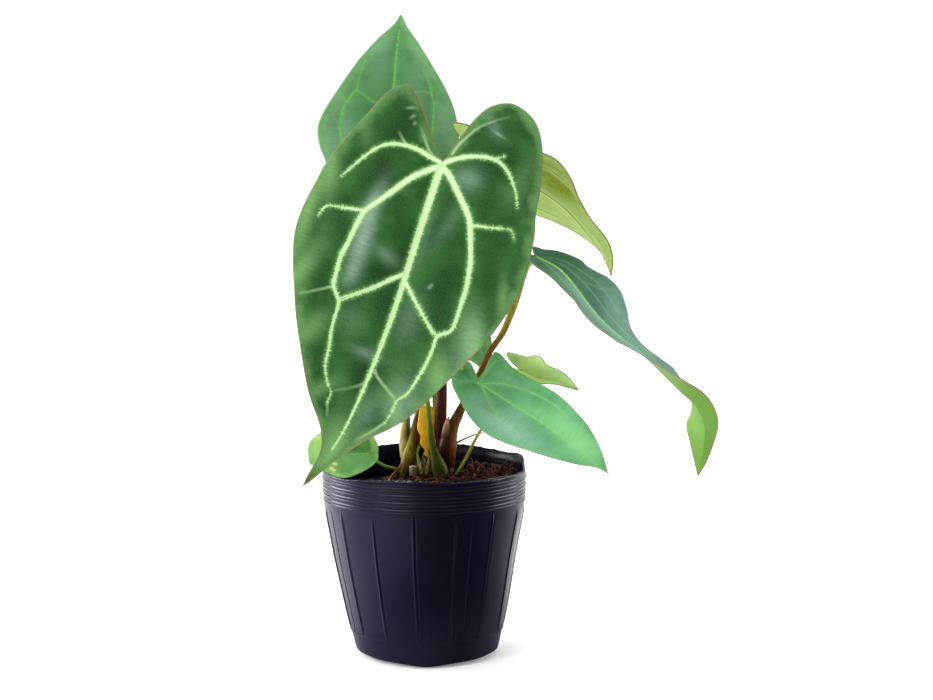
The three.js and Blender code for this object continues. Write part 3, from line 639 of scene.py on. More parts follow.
# The two short stems stand in the soil. Each leaf stalk grows from one of them in a sheath at its foot
# and thins towards its leaf. Their skins run from red-brown and olive at the foot to green above.
CROWNS = {
    "crown_left": ([(-8.5, 6, 84), (-9, 6, 98), (-9.5, 6, 108), (-9.5, 6, 116)], [4.2, 5, 5, 4.2]),
    "crown_right": ([(12.5, 1, 82), (12.5, 1, 96), (12, 1.5, 108), (12, 1.5, 117)], [5, 5.6, 5.8, 4.8]),
}
# The right-hand colours of stalks b, f and h are darker than their others: painted shade on the side turned
# from the brighter lamps on the left.
STALKS = {
    "petiole_e": {
        "slot": "stalk_green",
        "route": [(9.5, -8, 98), (9.5, -8, 104), (9.5, -8, 110), (7, -8.5, 118.5), (4.5, -8.5, 128),
                  (3.5, -8.5, 138), (2.5, -9, 148), (1.5, -10, 160), (4, -11, 170), (11.5, -12, 174.5),
                  (19.5, -10.5, 173), (26, -11.5, 168.5), (30.5, -15, 164.5), (33, -22.5, 164)],
        "radii": [4.7, 4.7, 4.6, 2.9, 1.9, 1.65, 1.6, 1.5, 1.45, 1.4, 1.35, 1.3, 1.3, 1.25, 1.25, 1.2],
        "skin": ["33330a", "3f420a", "4c540c", "627c14", "80a02c", "94b848", "9cc45c", "a0c860"],
        "right": ["4a4a10", "56560c", "4a540e", "6e8e1c", "8cac34", "a0c058", "a4c860", "a8cc64"],
    },
    "petiole_a": {
        "slot": "stalk_red",
        "route": [(11, 3, 109.5), (10, 3, 121.5), (9.5, 2.5, 133.5), (10, 1, 146.5), (10.5, -1, 160.5),
                  (10.5, -5, 188), (10, -9, 223.5), (10, -13, 258.5), (10.5, -17, 276),
                  (10.5, -23, 285.5), (10.5, -28.6, 289.9)],
        "radii": [3.9, 3.7, 2.9, 2.5, 2.4, 2.4, 2.6, 2.2],
        "skin": ["380c06", "44140a", "421c0c", "40240c", "42300e", "50541c", "6a7030", "80884a"],
        "right": ["6a1410", "7c1818", "6a1a14", "54220f", "4a3012", "50541c", "6a7030", "80884a"],
    },
    "petiole_d": {
        "slot": "stalk_olive",
        "route": [(13.5, -1, 111), (13.5, -2, 121), (14.5, -2, 129), (17, -1, 136.5), (19.5, 0, 141.5),
                  (23.5, 2, 149.5), (32, 6, 165), (39, 8, 179.5), (46.5, 10, 190.5), (52, 12, 203.5),
                  (56, 14, 216), (60.5, 15, 229), (67, 14, 236)],
        "radii": [4.6, 5.6, 3.4, 2.2, 1.9, 1.8, 1.8, 2.0, 2.5, 2.2, 1.5],
        "skin": ["2c0a06", "3c140a", "5a3016", "6a4414", "6c4c18", "8a5c1c", "9a7a2c", "98963a",
                 "a2b044", "a8bc54"],
        "right": ["4a1a08", "8a480e", "7c4c10", "64440f", "5c4212", "7a5018", "94782a", "98983a",
                  "a4b44c", "acc05c"],
    },
    "petiole_b": {
        "slot": "stalk_olive",
        "route": [(-10.4, 7, 108.5), (-10.8, 8, 119.5), (-11, 8.5, 129.5), (-11.2, 9, 139.5),
                  (-12.5, 12, 162), (-15.5, 18, 203.5), (-19.5, 26, 245), (-21.5, 31, 265.5),
                  (-22, 30, 273.5), (-21.5, 25, 278.5)],
        "radii": [2.9, 2.8, 2.2, 1.7, 1.6, 1.6, 1.7, 1.5],
        "skin": ["7a5c1c", "a08c40", "a8984c", "7c7830", "6c7030", "748434", "809044", "8ca04c"],
        "right": ["4a3a10", "5c4c14", "6a5c1c", "646420", "5c6424", "6c7c30", "7c8c40", "8c9c4c"],
    },
    "petiole_h": {
        "slot": "stalk_olive",
        "route": [(-7.5, 4, 111.5), (-7, 4, 121), (-6, 4.5, 132), (-3, 5.5, 145.5), (1.5, 9, 159.5),
                  (8, 15, 177), (15, 21, 190), (20.5, 23.5, 197), (23, 21.5, 199)],
        "radii": [3.2, 2.8, 1.8, 1.4, 1.2, 1.2, 1.1],
        "skin": ["6a2c12", "7a6018", "5a4810", "4c3c0e", "4a4010", "5c5c20", "74802c", "88983c"],
        "right": ["4a1c0c", "5a4612", "3c300a", "3a2c0a", "3a340e", "525220", "6c782c", "84903c"],
    },
    "petiole_c": {
        "slot": "stalk_green",
        "route": [(12.5, 7, 112), (9, 9.5, 132.5), (6, 9.5, 149.5), (7, 8, 174.5), (10.5, 6, 210.5),
                  (19, 5, 246), (29, 7, 272.5), (35.5, 11, 285), (37, 15, 290)],
        "radii": [2, 1.5, 1.4, 1.4, 1.4, 1.5, 1.4],
        "skin": ["6a4a1e", "8a9a40", "94b050", "8ca444", "84a040", "8ca848", "98b050"],
    },
    "petiole_f": {
        "slot": "stalk_green",
        "route": [(12, -5.5, 97), (15, -5, 102), (19, -4, 108), (24.5, -3, 117), (29, -2, 126),
                  (33.5, -1, 134), (40, 0, 144.5), (47, 1, 155.5), (53, 0, 164), (57.5, -7, 170.5)],
        "radii": [1.1, 1, 0.9, 0.9, 0.8],
        "skin": ["8c8c24", "a8a62a", "b8b43a", "c0bc48", "b4bc50", "a4c058", "a4c45c"],
        "right": ["64641a", "80801e", "94942c", "a0a43a", "98a844", "94b050", "94b454"],
    },
    "petiole_g": {
        "slot": "stalk_green",
        "route": [(-7, 4, 96), (-9, 3, 101), (-11.5, -1, 105.5), (-14, -4, 109), (-17.5, -9, 112),
                  (-22, -14, 114), (-26, -20, 117), (-28.5, -25, 120), (-31, -31.5, 124.5)],
        "radii": [1.1, 1, 0.9, 0.9, 0.8],
        "skin": ["90983a", "98a23a", "9cac40", "9cb04c", "98b44c", "90b44c", "8ab04c"],
    },
}


def measured(tree, name):
    """A value that the mesh carries at each corner."""
    return node(tree, "Attribute", attribute_name=name).outputs["Fac"]


def ramp(tree, share, colours):
    """Colours at even steps of a share."""
    made = node(tree, "ValToRGB", {0: share})
    stops = made.color_ramp.elements
    while len(stops) < len(colours):
        stops.new(0.5)
    for k, colour in enumerate(colours):
        stops[k].position = k / (len(colours) - 1)
        stops[k].color = rgb(colour)
    return made.outputs[0]


def skin_paint(colours, right_colours=None):
    """A stalk's skin: colours from foot to top, others on its right-hand side, with fine lengthwise streaks
    and speckles. Where the right-hand colours are darker, they are painted shade on the side turned from
    the brighter lamps on the left."""
    def paint(tree):
        along, right = measured(tree, "along"), measured(tree, "right")
        colour = ramp(tree, along, colours)
        if right_colours:
            # the side facing right; where its colours are darker, they are painted shade
            colour = mix(tree, ease(tree, right, -0.1, 0.75), colour, ramp(tree, along, right_colours))
        place = on_piece(tree)
        streak = cloud(tree, stretched(tree, place, (1, 1, 0.1)), 800, 3, 0.6)
        mottle = cloud(tree, stretched(tree, place, (1, 1, 0.5)), 260, 3, 0.6)
        dark = mix(tree, 0.7, colour, rgb("241206"), "MULTIPLY")
        colour = mix(tree, ease(tree, streak, 0.45, 0.68, 0, 0.6), colour, dark)
        colour = mix(tree, ease(tree, mottle, 0.52, 0.7, 0, 0.5), colour, dark)
        speck = ease(tree, cloud(tree, place, 1600, 1), 0.68, 0.76, 0, 0.25)
        return mix(tree, speck, colour, rgb("d8cf96")), streak
    return paint


def lone_bar(name, route, radii, colours, slot, rings=60, sides=20, roughness=0.38, replaced=(),
             right=None, lumps=0.03):
    """A piece that is one bar, with its own skin."""
    shape = bmesh.new()
    shape.verts.layers.float.new("along")
    shape.verts.layers.float.new("right")
    bar(shape, route, radii, rings, sides, lumps)
    skin = finish(name + "_skin", skin_paint(colours, right), roughness, 0.16, bump=0.35, grain=0.12)
    return piece(name, close_up(shape), [skin], slot, *replaced)


CROWN_SKIN = ["2c120a", "4a2412", "5c3414", "6a4a1c"]
for name, (route, radii) in CROWNS.items():
    lone_bar(name + "_stem", route, radii, CROWN_SKIN, "crown", replaced=[name])
for name, stalk in STALKS.items():
    lone_bar("stalk_" + name[-1], stalk["route"], stalk["radii"], stalk["skin"], stalk["slot"], 120,
             replaced=[name], right=stalk.get("right"))


# The left shoot's two stalks swell into one foot, with a dry sheath round it and a thin red shoot
# beside it. The sheath of the right shoot ends in a papery, pale tip.
# The second colour lists of the foot and the dry sheath are darker: painted shade on their right-hand side,
# turned from the brighter lamps on the left.
SHOOT_PARTS = {
    "shoot_foot": ([(-9.6, 1.5, 106.5), (-9.6, 1.5, 111), (-9.2, 2, 117), (-8, 3, 124), (-6.7, 3.8, 131),
                    (-4.6, 5, 139)], [4.2, 4.9, 4.5, 3.2, 2.3, 1.7, 1.3],
                   ["4a160a", "6c4c0e", "8a7a18", "8c7c1c", "6c5c16", "4c3c0e"],
                   ["3c100a", "4c3c0c", "5c5410", "544a10", "44380c", "3c300a"]),
    "shoot_sheath": ([(-11.2, 4.6, 116), (-11.8, 5.4, 125), (-11.6, 6, 133), (-10.4, 6.6, 142)],
                     [3.2, 3.4, 2.9, 0.6], ["94843a", "b8a468", "a89a50", "7c7428"],
                     ["5c4a12", "6a5a1a", "5c5a18", "5c5a1c"]),
    "sheath_tip": ([(12.6, -3.6, 127), (12.8, -4.2, 133), (13.6, -3.8, 138.5), (14.6, -3, 142.5)],
                   [2.2, 2.6, 1.8, 0.3],
                   ["4a2a18", "6c4630", "a87e6c", "d8b8ac"], ["6a4018", "7c5424", "a0744c", "c8a08c"]),
    "red_shoot": ([(-4.2, 3.6, 118), (-3.6, 3.6, 125), (-3, 3.6, 138)], [0.9, 1.3, 0.9],
                  ["4a0c0c", "6a1412", "5a1410"], None),
}
for name, (route, radii, colours, right) in SHOOT_PARTS.items():
    lone_bar(name, route, radii, colours, "stalk_olive", 40, right=right)


# Roots come down from the stems into the mix, a dry stub of an old shoot stands beside them, and two
# thin twigs of the mix lie across.
BITS = {
    "stub": ("grey", [(-7, -6, 98), (-6.5, -6, 106), (-6.5, -6, 111.5), (-6.5, -6, 113.5)],
             [2.4, 2.6, 2.4], ["2c2018", "4a3a30", "8a7a70", "b4a89e"]),
    "root_pale": ("root", [(-3, 3, 124.5), (-4.5, 2.5, 119), (-3.5, 1, 115), (-2, -1, 109.5),
                           (-2, -2, 102)],
                  [0.8, 1.1, 0.9], ["8aa040", "a8b860", "c4d098", "b8b488"]),
    "root_cream": ("root", [(1.5, -4, 124), (3, -4, 119), (2.5, -4, 113.5), (1.5, -4, 108), (0.5, -4, 101)],
                   [0.5, 0.7, 0.7], ["b09030", "a8a040", "b0a850", "8a7a38"]),
    "twig_front": ("twig", [(-13, -4, 114.5), (-15.5, -7, 111.5), (-19.5, -12, 107.5), (-22, -16, 101)],
                   [0.5, 0.6], ["a8683a", "b87848", "a06030"]),
    "twig_back": ("twig", [(15, 0, 124), (19.5, 2, 126), (25, 3, 128.5), (30.5, 4, 130.5),
                           (35.5, 5, 131.5)],
                  [0.7, 0.5, 0.3], ["2a1a1a", "34242a", "4a3a3a"]),
}
for name, (slot, route, radii, colours) in BITS.items():
    lone_bar(name + "_bar", route, radii, colours, slot, 30, 12, 0.8, [name], lumps=0.25)


# Thin dry roots, tan and almost as fine as hair, hang from the crown between the stalks. Each runs
# from the soil to the foot of a stalk in one slight bow.
DRY_ROOTS = 12
strands = np.random.default_rng(5)
for k in range(DRY_ROOTS):
    foot = np.array([strands.uniform(-4, 4), strands.uniform(-5, -2), 104])
    top = foot + [strands.uniform(-3.5, 3.5), strands.uniform(0, 2), strands.uniform(10, 17)]
    bow = (foot + top) / 2 + [strands.uniform(-2.5, 2.5), 0, 0]
    lone_bar(f"dry_root_{k + 1}", [foot, bow, top], [0.26, 0.2, 0.12], ["7a4a2a", "b88858", "d8b88c"],
             "root", 24, 6, 0.8, lumps=0.2)


# The leaves are single heart-shaped blades. A leaf is drawn flat: a runs along the midrib from the
# stalk to the tip, and is negative in the lobes, and b is the distance from the midrib. The flat leaf
# is then laid on its bent midrib, folded, curled and waved, and its veins are sunk in the upper face.
BLADE = 0.55
VEIN_STEP = 1.0
CORD_SHARE = 0.7
TAPER = 1.2
UPPER_PROUD = 0.1
UNDER_PROUD = 0.45
FAINT = 1.2
VEINS_APART = 50
RIM_POINTS = 240
BATCH = 4000
EVEN_FOLD = ((6, 6), (6, 6))
EVEN_CURL = ((-0.23, -0.23), (-0.23, -0.23))


def between(values, share):
    return np.interp(share, np.linspace(0, 1, len(values)), values)


class Leaf:
    """A vein is its line and its half width at both ends, and below zero only a faint line in the skin. A
    patch of sheen, shade, tint or pale is its middle, reach along and across, turn and strength. The sheen
    patches are a painted grey sheen with a few pale scuffs; the shade patches are painted shade, except on
    the dry scale leaf, where they mark its dark cracks; the tint patches are the leaf's own colour, and on
    leaf A also painted shade where its left lobe rolls back."""

    def __init__(self, midrib, facing, sides, lobe_share, fold=EVEN_FOLD, curl=EVEN_CURL,
                 wave=(0, 30, 0), lobe_turn=0.0, veins=(), sink=0.8, sink_reach=5.0, sheen_and_scuffs=(), shade=(),
                 flush_and_shade=(), pale=()):
        self.path = Route(midrib)
        self.facing = Route(facing)
        self.fold, self.curl, self.wave = fold, curl, wave
        self.sides = [Route(side) for side in sides]
        self.lobe_share, self.lobe_turn = lobe_share, lobe_turn
        self.sink, self.sink_reach = sink, sink_reach
        self.dabs = (sheen_and_scuffs, shade, flush_and_shade, pale)
        self.length = self.path.length
        self.veins = []
        start = 0.0
        for points, first, last in veins:
            route = Route(points)
            share = np.linspace(0, 1, max(3, int(route.length / VEIN_STEP)))
            width = first + (last - first) * share**TAPER
            self.veins.append((route.at(share), width, start + share * route.length))
            start += route.length + VEINS_APART

    def spot(self, a, b):
        """The place of (a, b) on the bent leaf."""
        share = np.clip(a / self.length, 0, 1)
        along = self.path.along(share)
        across = unit(np.cross(along, self.facing.by_point(share)))
        up = np.cross(across, along)
        spot = self.path.at(share)
        behind = np.maximum(-a, 0)[:, None]
        if self.lobe_turn:
            turn = self.lobe_turn * behind
            spot = spot - np.sin(turn) / self.lobe_turn * along
            spot = spot + (1 - np.cos(turn)) / self.lobe_turn * up
            up = np.cos(turn) * up + np.sin(turn) * along
        else:
            spot = spot - behind * along
        fold, curl = [np.where(b > 0, between(left, share), between(right, share))
                      for left, right in (self.fold, self.curl)]
        fold, curl = np.radians(fold), np.radians(np.where(curl == 0, 1e-4, curl))
        width = np.abs(b)
        out = (np.sin(fold + curl * width) - np.sin(fold)) / curl
        height, length, start = self.wave
        lift = (np.cos(fold) - np.cos(fold + curl * width)) / curl
        lift = lift + height * (width / 60) ** 2 * np.sin(TURN * a / length + start + np.sign(b))
        return spot + across * (np.sign(b) * out)[:, None] + up * lift[:, None]

    def normal(self, a, b):
        step = 0.4
        down = self.spot(a + step, b) - self.spot(a - step, b)
        over = self.spot(a, b + step) - self.spot(a, b - step)
        return unit(np.cross(over, down))

    def nearest(self, a, b, lines):
        """Distance from each place to the nearest of some lines, less the line's half width, and
        the run along it."""
        near, run = np.full(len(a), 1e3), np.zeros(len(a))
        for points, width, place in lines:
            for low in range(0, len(a), BATCH):
                part = slice(low, low + BATCH)
                far = np.hypot(a[part, None] - points[:, 0], b[part, None] - points[:, 1]) - width
                best = far.argmin(1)
                gap = far[np.arange(len(best)), best]
                nearer = gap < near[part]
                near[part] = np.where(nearer, gap, near[part])
                run[part] = np.where(nearer, place[best], run[part])
        return near, run

    def dabbed(self, a, b, dabs):
        """How strongly soft oval patches cover each place."""
        total = np.zeros(len(a))
        for x, y, far, wide, turn, strength in dabs:
            c, s = math.cos(math.radians(turn)), math.sin(math.radians(turn))
            u, v = (a - x) * c + (b - y) * s, (b - y) * c - (a - x) * s
            total += strength * np.exp(-((u / far) ** 2) - (v / wide) ** 2)
        return np.clip(total, 0, 1)

    def relief(self, vein):
        return -self.sink * bell(np.maximum(vein, 0) / self.sink_reach) + self.sink * 0.5

    def raised(self, a, b, vein):
        """The place of (a, b) with the veins sunk and the panels between them puffed."""
        return self.spot(a, b) + self.normal(a, b) * self.relief(vein)[:, None]


ATTRIBUTES = ("vein", "run", "faint", "trace", "edge", "sheen_and_scuffs", "shade", "flush_and_shade", "pale")


def blade_shape(leaf, rows, columns):
    """The blade's middle surface: a grid with a row for each step along the margin. Its corners
    carry what the skin needs to know: how far the veins and the margin are, and the patches."""
    shape = bmesh.new()
    layers = [shape.verts.layers.float.new(name) for name in ATTRIBUTES]
    plane = shape.verts.layers.float_vector.new("plane")
    made = bmesh.ops.create_grid(shape, x_segments=rows, y_segments=2 * columns, size=0.5)["verts"]
    shares = np.array([v.co[:2] for v in made])
    row, off = shares[:, 0] + 0.5, 2 * shares[:, 1]
    margin = np.where((off > 0)[:, None], leaf.sides[0].at(row), leaf.sides[1].at(row))
    root = leaf.length * np.clip((row - leaf.lobe_share) / (1 - leaf.lobe_share), 0, 1)
    out = np.abs(off)
    a = root + (margin[:, 0] - root) * out
    b = margin[:, 1] * out
    vein, run = leaf.nearest(a, b, [line for line in leaf.veins if line[1][0] >= 0])
    traces = [(points, 0 * width, FAINT + width) for points, width, _ in leaf.veins if width[0] < 0]
    faint, trace = leaf.nearest(a, b, traces)
    steps = np.linspace(0, 1, RIM_POINTS)
    rims = [(side.at(steps), 0.0, 0 * steps) for side in leaf.sides]
    edge, _ = leaf.nearest(a, b, rims)
    move_to(made, leaf.raised(a, b, vein))
    dabs = [leaf.dabbed(a, b, patches) for patches in leaf.dabs]
    for vert, *values, x, y in zip(made, vein, run, faint, trace, edge, *dabs, a, b):
        for layer, value in zip(layers, values):
            vert[layer] = value
        vert[plane] = (x, y, 0)
    bmesh.ops.remove_doubles(shape, verts=shape.verts, dist=0.02)
    bmesh.ops.dissolve_degenerate(shape, edges=shape.edges, dist=1e-3)
    bmesh.ops.reverse_faces(shape, faces=shape.faces)
    return shape


def vein_shape(leaf, sides=12):
    """Slim tapered cords that lie in the blade, a little proud above and more below."""
    shape = bmesh.new()
    along, crest = [shape.verts.layers.float.new(name) for name in ("along", "crest")]
    for points, width, _ in leaf.veins:
        if width[0] < 0:
            continue
        rings = len(points) - 1
        a, b = points[:, 0], points[:, 1]
        normal = leaf.normal(a, b)
        centres = leaf.raised(a, b, -width)
        width = CORD_SHARE * width
        width = width * (1 + 0.16 * wobble(points @ np.eye(2, 3), 0.22, 2))
        ahead = unit(np.gradient(centres, axis=0))
        across = unit(np.cross(ahead, normal))
        taper = width / width.max()

        def place(u, v):
            k = np.rint(u * rings).astype(int)
            side, rise = np.cos(TURN * v), np.sin(TURN * v)
            flat = np.sign(side) * np.abs(side) ** 0.6 * width[k]
            end = np.where((k == 0) | (k == rings), 0.0, 1.0)
            top = BLADE / 2 + UPPER_PROUD * taper[k]
            under = BLADE / 2 + UNDER_PROUD * taper[k]
            high = np.where(rise > 0, rise * top, rise * under)
            return centres[k] + across[k] * (flat * end)[:, None] + normal[k] * (high * end)[:, None]

        made, shares = wrapped(shape, rings, sides, place)
        for vert, (share, turn) in zip(made, shares):
            vert[along] = share
            vert[crest] = math.sin(TURN * turn)
    return close_up(shape)


def on_flat_leaf(tree):
    """The place on the flat leaf, in millimetres."""
    return node(tree, "Attribute", attribute_name="plane").outputs["Vector"]


def fine_net(tree, plane, scale):
    """The distance to the nearest of the finest veins."""
    inputs = {"Vector": stretched(tree, plane, scale), "Scale": 1.0}
    return node(tree, "TexVoronoi", inputs, feature="DISTANCE_TO_EDGE").outputs["Distance"]


def new_group(name, colours, numbers=()):
    """An empty node group that puts out a colour and a height, and what is given to it."""
    tree = bpy.data.node_groups.new(name, "ShaderNodeTree")
    for kind, names in (("Color", colours), ("Float", numbers)):
        for socket in names:
            tree.interface.new_socket(socket, in_out="INPUT", socket_type="NodeSocket" + kind)
    tree.interface.new_socket("Color", in_out="OUTPUT", socket_type="NodeSocketColor")
    tree.interface.new_socket("Height", in_out="OUTPUT", socket_type="NodeSocketFloat")
    return tree, tree.nodes.new("NodeGroupInput").outputs


def put_out(tree, colour, height):
    out = tree.nodes.new("NodeGroupOutput")
    tree.links.new(colour, out.inputs["Color"])
    tree.links.new(height, out.inputs["Height"])
    return tree


def skin_group():
    """The upper face of a velvety blade: dark panels with painted shade, a paler margin, a painted grey
    sheen with a few scuffs, and soft feathered edges along the veins."""
    tree, given = new_group(
        "leaf_skin", ("Deep", "Mid", "Light", "Sheen And Scuffs", "Flush And Shade", "Vein", "Hair", "Margin"),
        ("Fringe", "Light Reach", "Light Share", "Sheen And Scuffs Share", "Margin Width", "Glow"))
    plane = on_flat_leaf(tree)
    vein, run, faint, trace, edge, sheen_and_scuffs, shade, flush_and_shade, light = [
        measured(tree, name) for name in ATTRIBUTES]
    slant = node(tree, "Mapping", {"Vector": plane, "Rotation": (0, 0, 0.35), "Scale": (0.8, 0.13, 1)})
    streak = cloud(tree, slant.outputs[0], 1.0, 3, 0.65)
    fine = cloud(tree, plane, 1.4, 3, 0.7)

    # the panels, paler towards the margin and beside the veins, with their patches: painted shade, a
    # painted sheen with scuffs, and tints that on leaf A also paint shade where its lobe rolls back
    broad = cloud(tree, plane, 0.05, 3)
    colour = mix(tree, ease(tree, broad, 0.38, 0.66), given["Deep"], given["Mid"])
    colour = mix(tree, ease(tree, streak, 0.4, 0.75, 0, 0.3), colour, given["Mid"])
    # painted shade darkens the panels
    colour = mix(tree, shade, colour, mix(tree, 0.6, given["Deep"], rgb("08240c")))
    ragged = {"Value": cloud(tree, plane, 0.09, 3), "To Min": -8.0, "To Max": 8.0}
    reach = maths(tree, "ADD", edge, node(tree, "MapRange", ragged).outputs[0])
    pale = times(tree, ease(tree, reach, given["Light Reach"], 0.0), given["Light Share"])
    near = times(tree, ease(tree, vein, 3.2, 0.0), given["Glow"])
    mottled = times(tree, light, ease(tree, streak, 0.3, 0.7, 0.8, 1.05))
    lighter = maths(tree, "MAXIMUM", maths(tree, "MAXIMUM", pale, near), mottled)
    colour = mix(tree, lighter, colour, given["Light"])
    # a painted grey sheen, streaked, with a few pale scuffs
    streaked_sheen_and_scuffs = times(tree, sheen_and_scuffs, ease(tree, streak, 0.3, 0.7, 0.75, 1.08))
    colour = mix(tree, times(tree, streaked_sheen_and_scuffs, given["Sheen And Scuffs Share"]), colour, given["Sheen And Scuffs"])
    colour = mix(tree, ease(tree, fine, 0.35, 0.75, 0, 0.16), colour, given["Light"])
    # tints, and on leaf A painted shade where its lobe rolls back
    colour = mix(tree, flush_and_shade, colour, given["Flush And Shade"])

    # the faint veins, the feathered fringe of the others, and their own colour
    far = {0: times(tree, run, 1.1), 1: times(tree, vein, 0.25)}
    feather = cloud(tree, node(tree, "CombineXYZ", far).outputs[0], 1.0, 4, 0.7)
    width = times(tree, given["Fringe"], ease(tree, feather, 0.4, 0.66, 0.3, 2.3))
    outer = ease(tree, vein, width, times(tree, width, 0.45))
    inner = ease(tree, vein, times(tree, width, 0.6), 0.0)
    line = times(tree, ease(tree, faint, 1.5, 0.1, 0, 0.65), trace)
    colour = mix(tree, line, colour, given["Vein"])
    colour = mix(tree, times(tree, outer, 0.75), colour, given["Hair"])
    colour = mix(tree, inner, colour, given["Vein"])
    rim = maths(tree, "SUBTRACT", edge, given["Margin Width"])
    colour = mix(tree, ease(tree, rim, 0.35, -0.1), colour, given["Margin"])

    net = ease(tree, fine_net(tree, plane, (0.28, 0.22, 1)), 0.0, 0.12, 0, 0.5)
    low = maths(tree, "ADD", times(tree, streak, 0.9), net)
    return put_out(tree, colour, maths(tree, "ADD", times(tree, fine, 0.5), low))


def back_group():
    """The under face: paler, with a fine net of small veins that stand out, turned to its second colour by
    the painted shade patches.
    """
    tree, given = new_group("leaf_back", ("Base", "Second", "Pale", "Margin"))
    plane = on_flat_leaf(tree)
    line = ease(tree, fine_net(tree, plane, (0.45, 0.36, 1)), 0.1, 0.0)
    # painted shade
    colour = mix(tree, measured(tree, "shade"), given["Base"], given["Second"])
    patches = ease(tree, cloud(tree, plane, 0.05, 3), 0.4, 0.75, 0, 0.5)
    beside_vein = ease(tree, measured(tree, "vein"), 3.0, 0.0, 0, 0.6)
    for paler in (patches, times(tree, line, 0.16), beside_vein):
        colour = mix(tree, paler, colour, given["Pale"])
    colour = mix(tree, ease(tree, measured(tree, "edge"), 0.9, 0.2), colour, given["Margin"])
    return put_out(tree, colour, line)


SKIN = skin_group()
BACK = back_group()


def grouped(group, values):
    """A paint function that takes its colour and height from a group with these values."""
    def paint(tree):
        made = tree.nodes.new("ShaderNodeGroup")
        made.node_tree = group
        for name, value in values.items():
            made.inputs[name].default_value = rgb(value) if isinstance(value, str) else value
        return made.outputs["Color"], made.outputs["Height"]
    return paint


def vein_paint(tint, core, fade):
    """A vein's skin, paler along the first part of its length, with a faint tan line on its crest."""
    def paint(tree):
        along, crest = measured(tree, "along"), measured(tree, "crest")
        patches = cloud(tree, on_piece(tree), 300, 2)
        colour = mix(tree, ease(tree, along, 0.75, 0.0), rgb(tint), rgb(core))
        colour = mix(tree, ease(tree, along, 0.82, 1.0), colour, rgb(fade))
        colour = mix(tree, ease(tree, patches, 0.5, 0.75, 0, 0.4), colour, rgb(tint))
        line = times(tree, ease(tree, crest, 0.95, 0.99), ease(tree, along, 0.5, 0.1, 0, 0.45))
        return mix(tree, line, colour, rgb("cdb58c")), patches
    return paint


def thicken(blade, thickness):
    body = blade.modifiers.new("thickness", "SOLIDIFY")
    body.thickness = thickness * MM
    body.offset = 0
    return body


def leaf_pieces(letter, leaf, slot, grid, upper, under, vein_tint, vein_core, roughness=0.6, gloss=0.12,
                sheen=0.25, sheen_tint=(0.55, 0.8, 0.65, 1)):
    """One leaf: its blade, given its thickness at the end, and its veins. Where the under face has
    no second colour, it is of one colour."""
    name = "leaf_" + letter
    under = {"Second": under["Base"], **under}
    skins = [
        finish(name + "_upper", grouped(SKIN, upper), roughness, gloss, sheen, sheen_tint, 0.35, 0.18),
        finish(name + "_under", grouped(BACK, under), 0.55, 0.25, bump=0.3, grain=0.2),
        finish(name + "_edge", lambda tree: (rgb(upper["Margin"]), None), 0.6, 0.2),
    ]
    body = thicken(piece("blade_" + letter, blade_shape(leaf, *grid), skins, slot, name), BLADE)
    body.material_offset = 1
    body.material_offset_rim = 2
    if leaf.veins:
        tissue = vein_paint(vein_tint, vein_core, upper["Hair"])
        cord = finish(name + "_vein", tissue, 0.6, 0.15, bump=0.2)
        piece("veins_" + letter, vein_shape(leaf), [cord], slot)


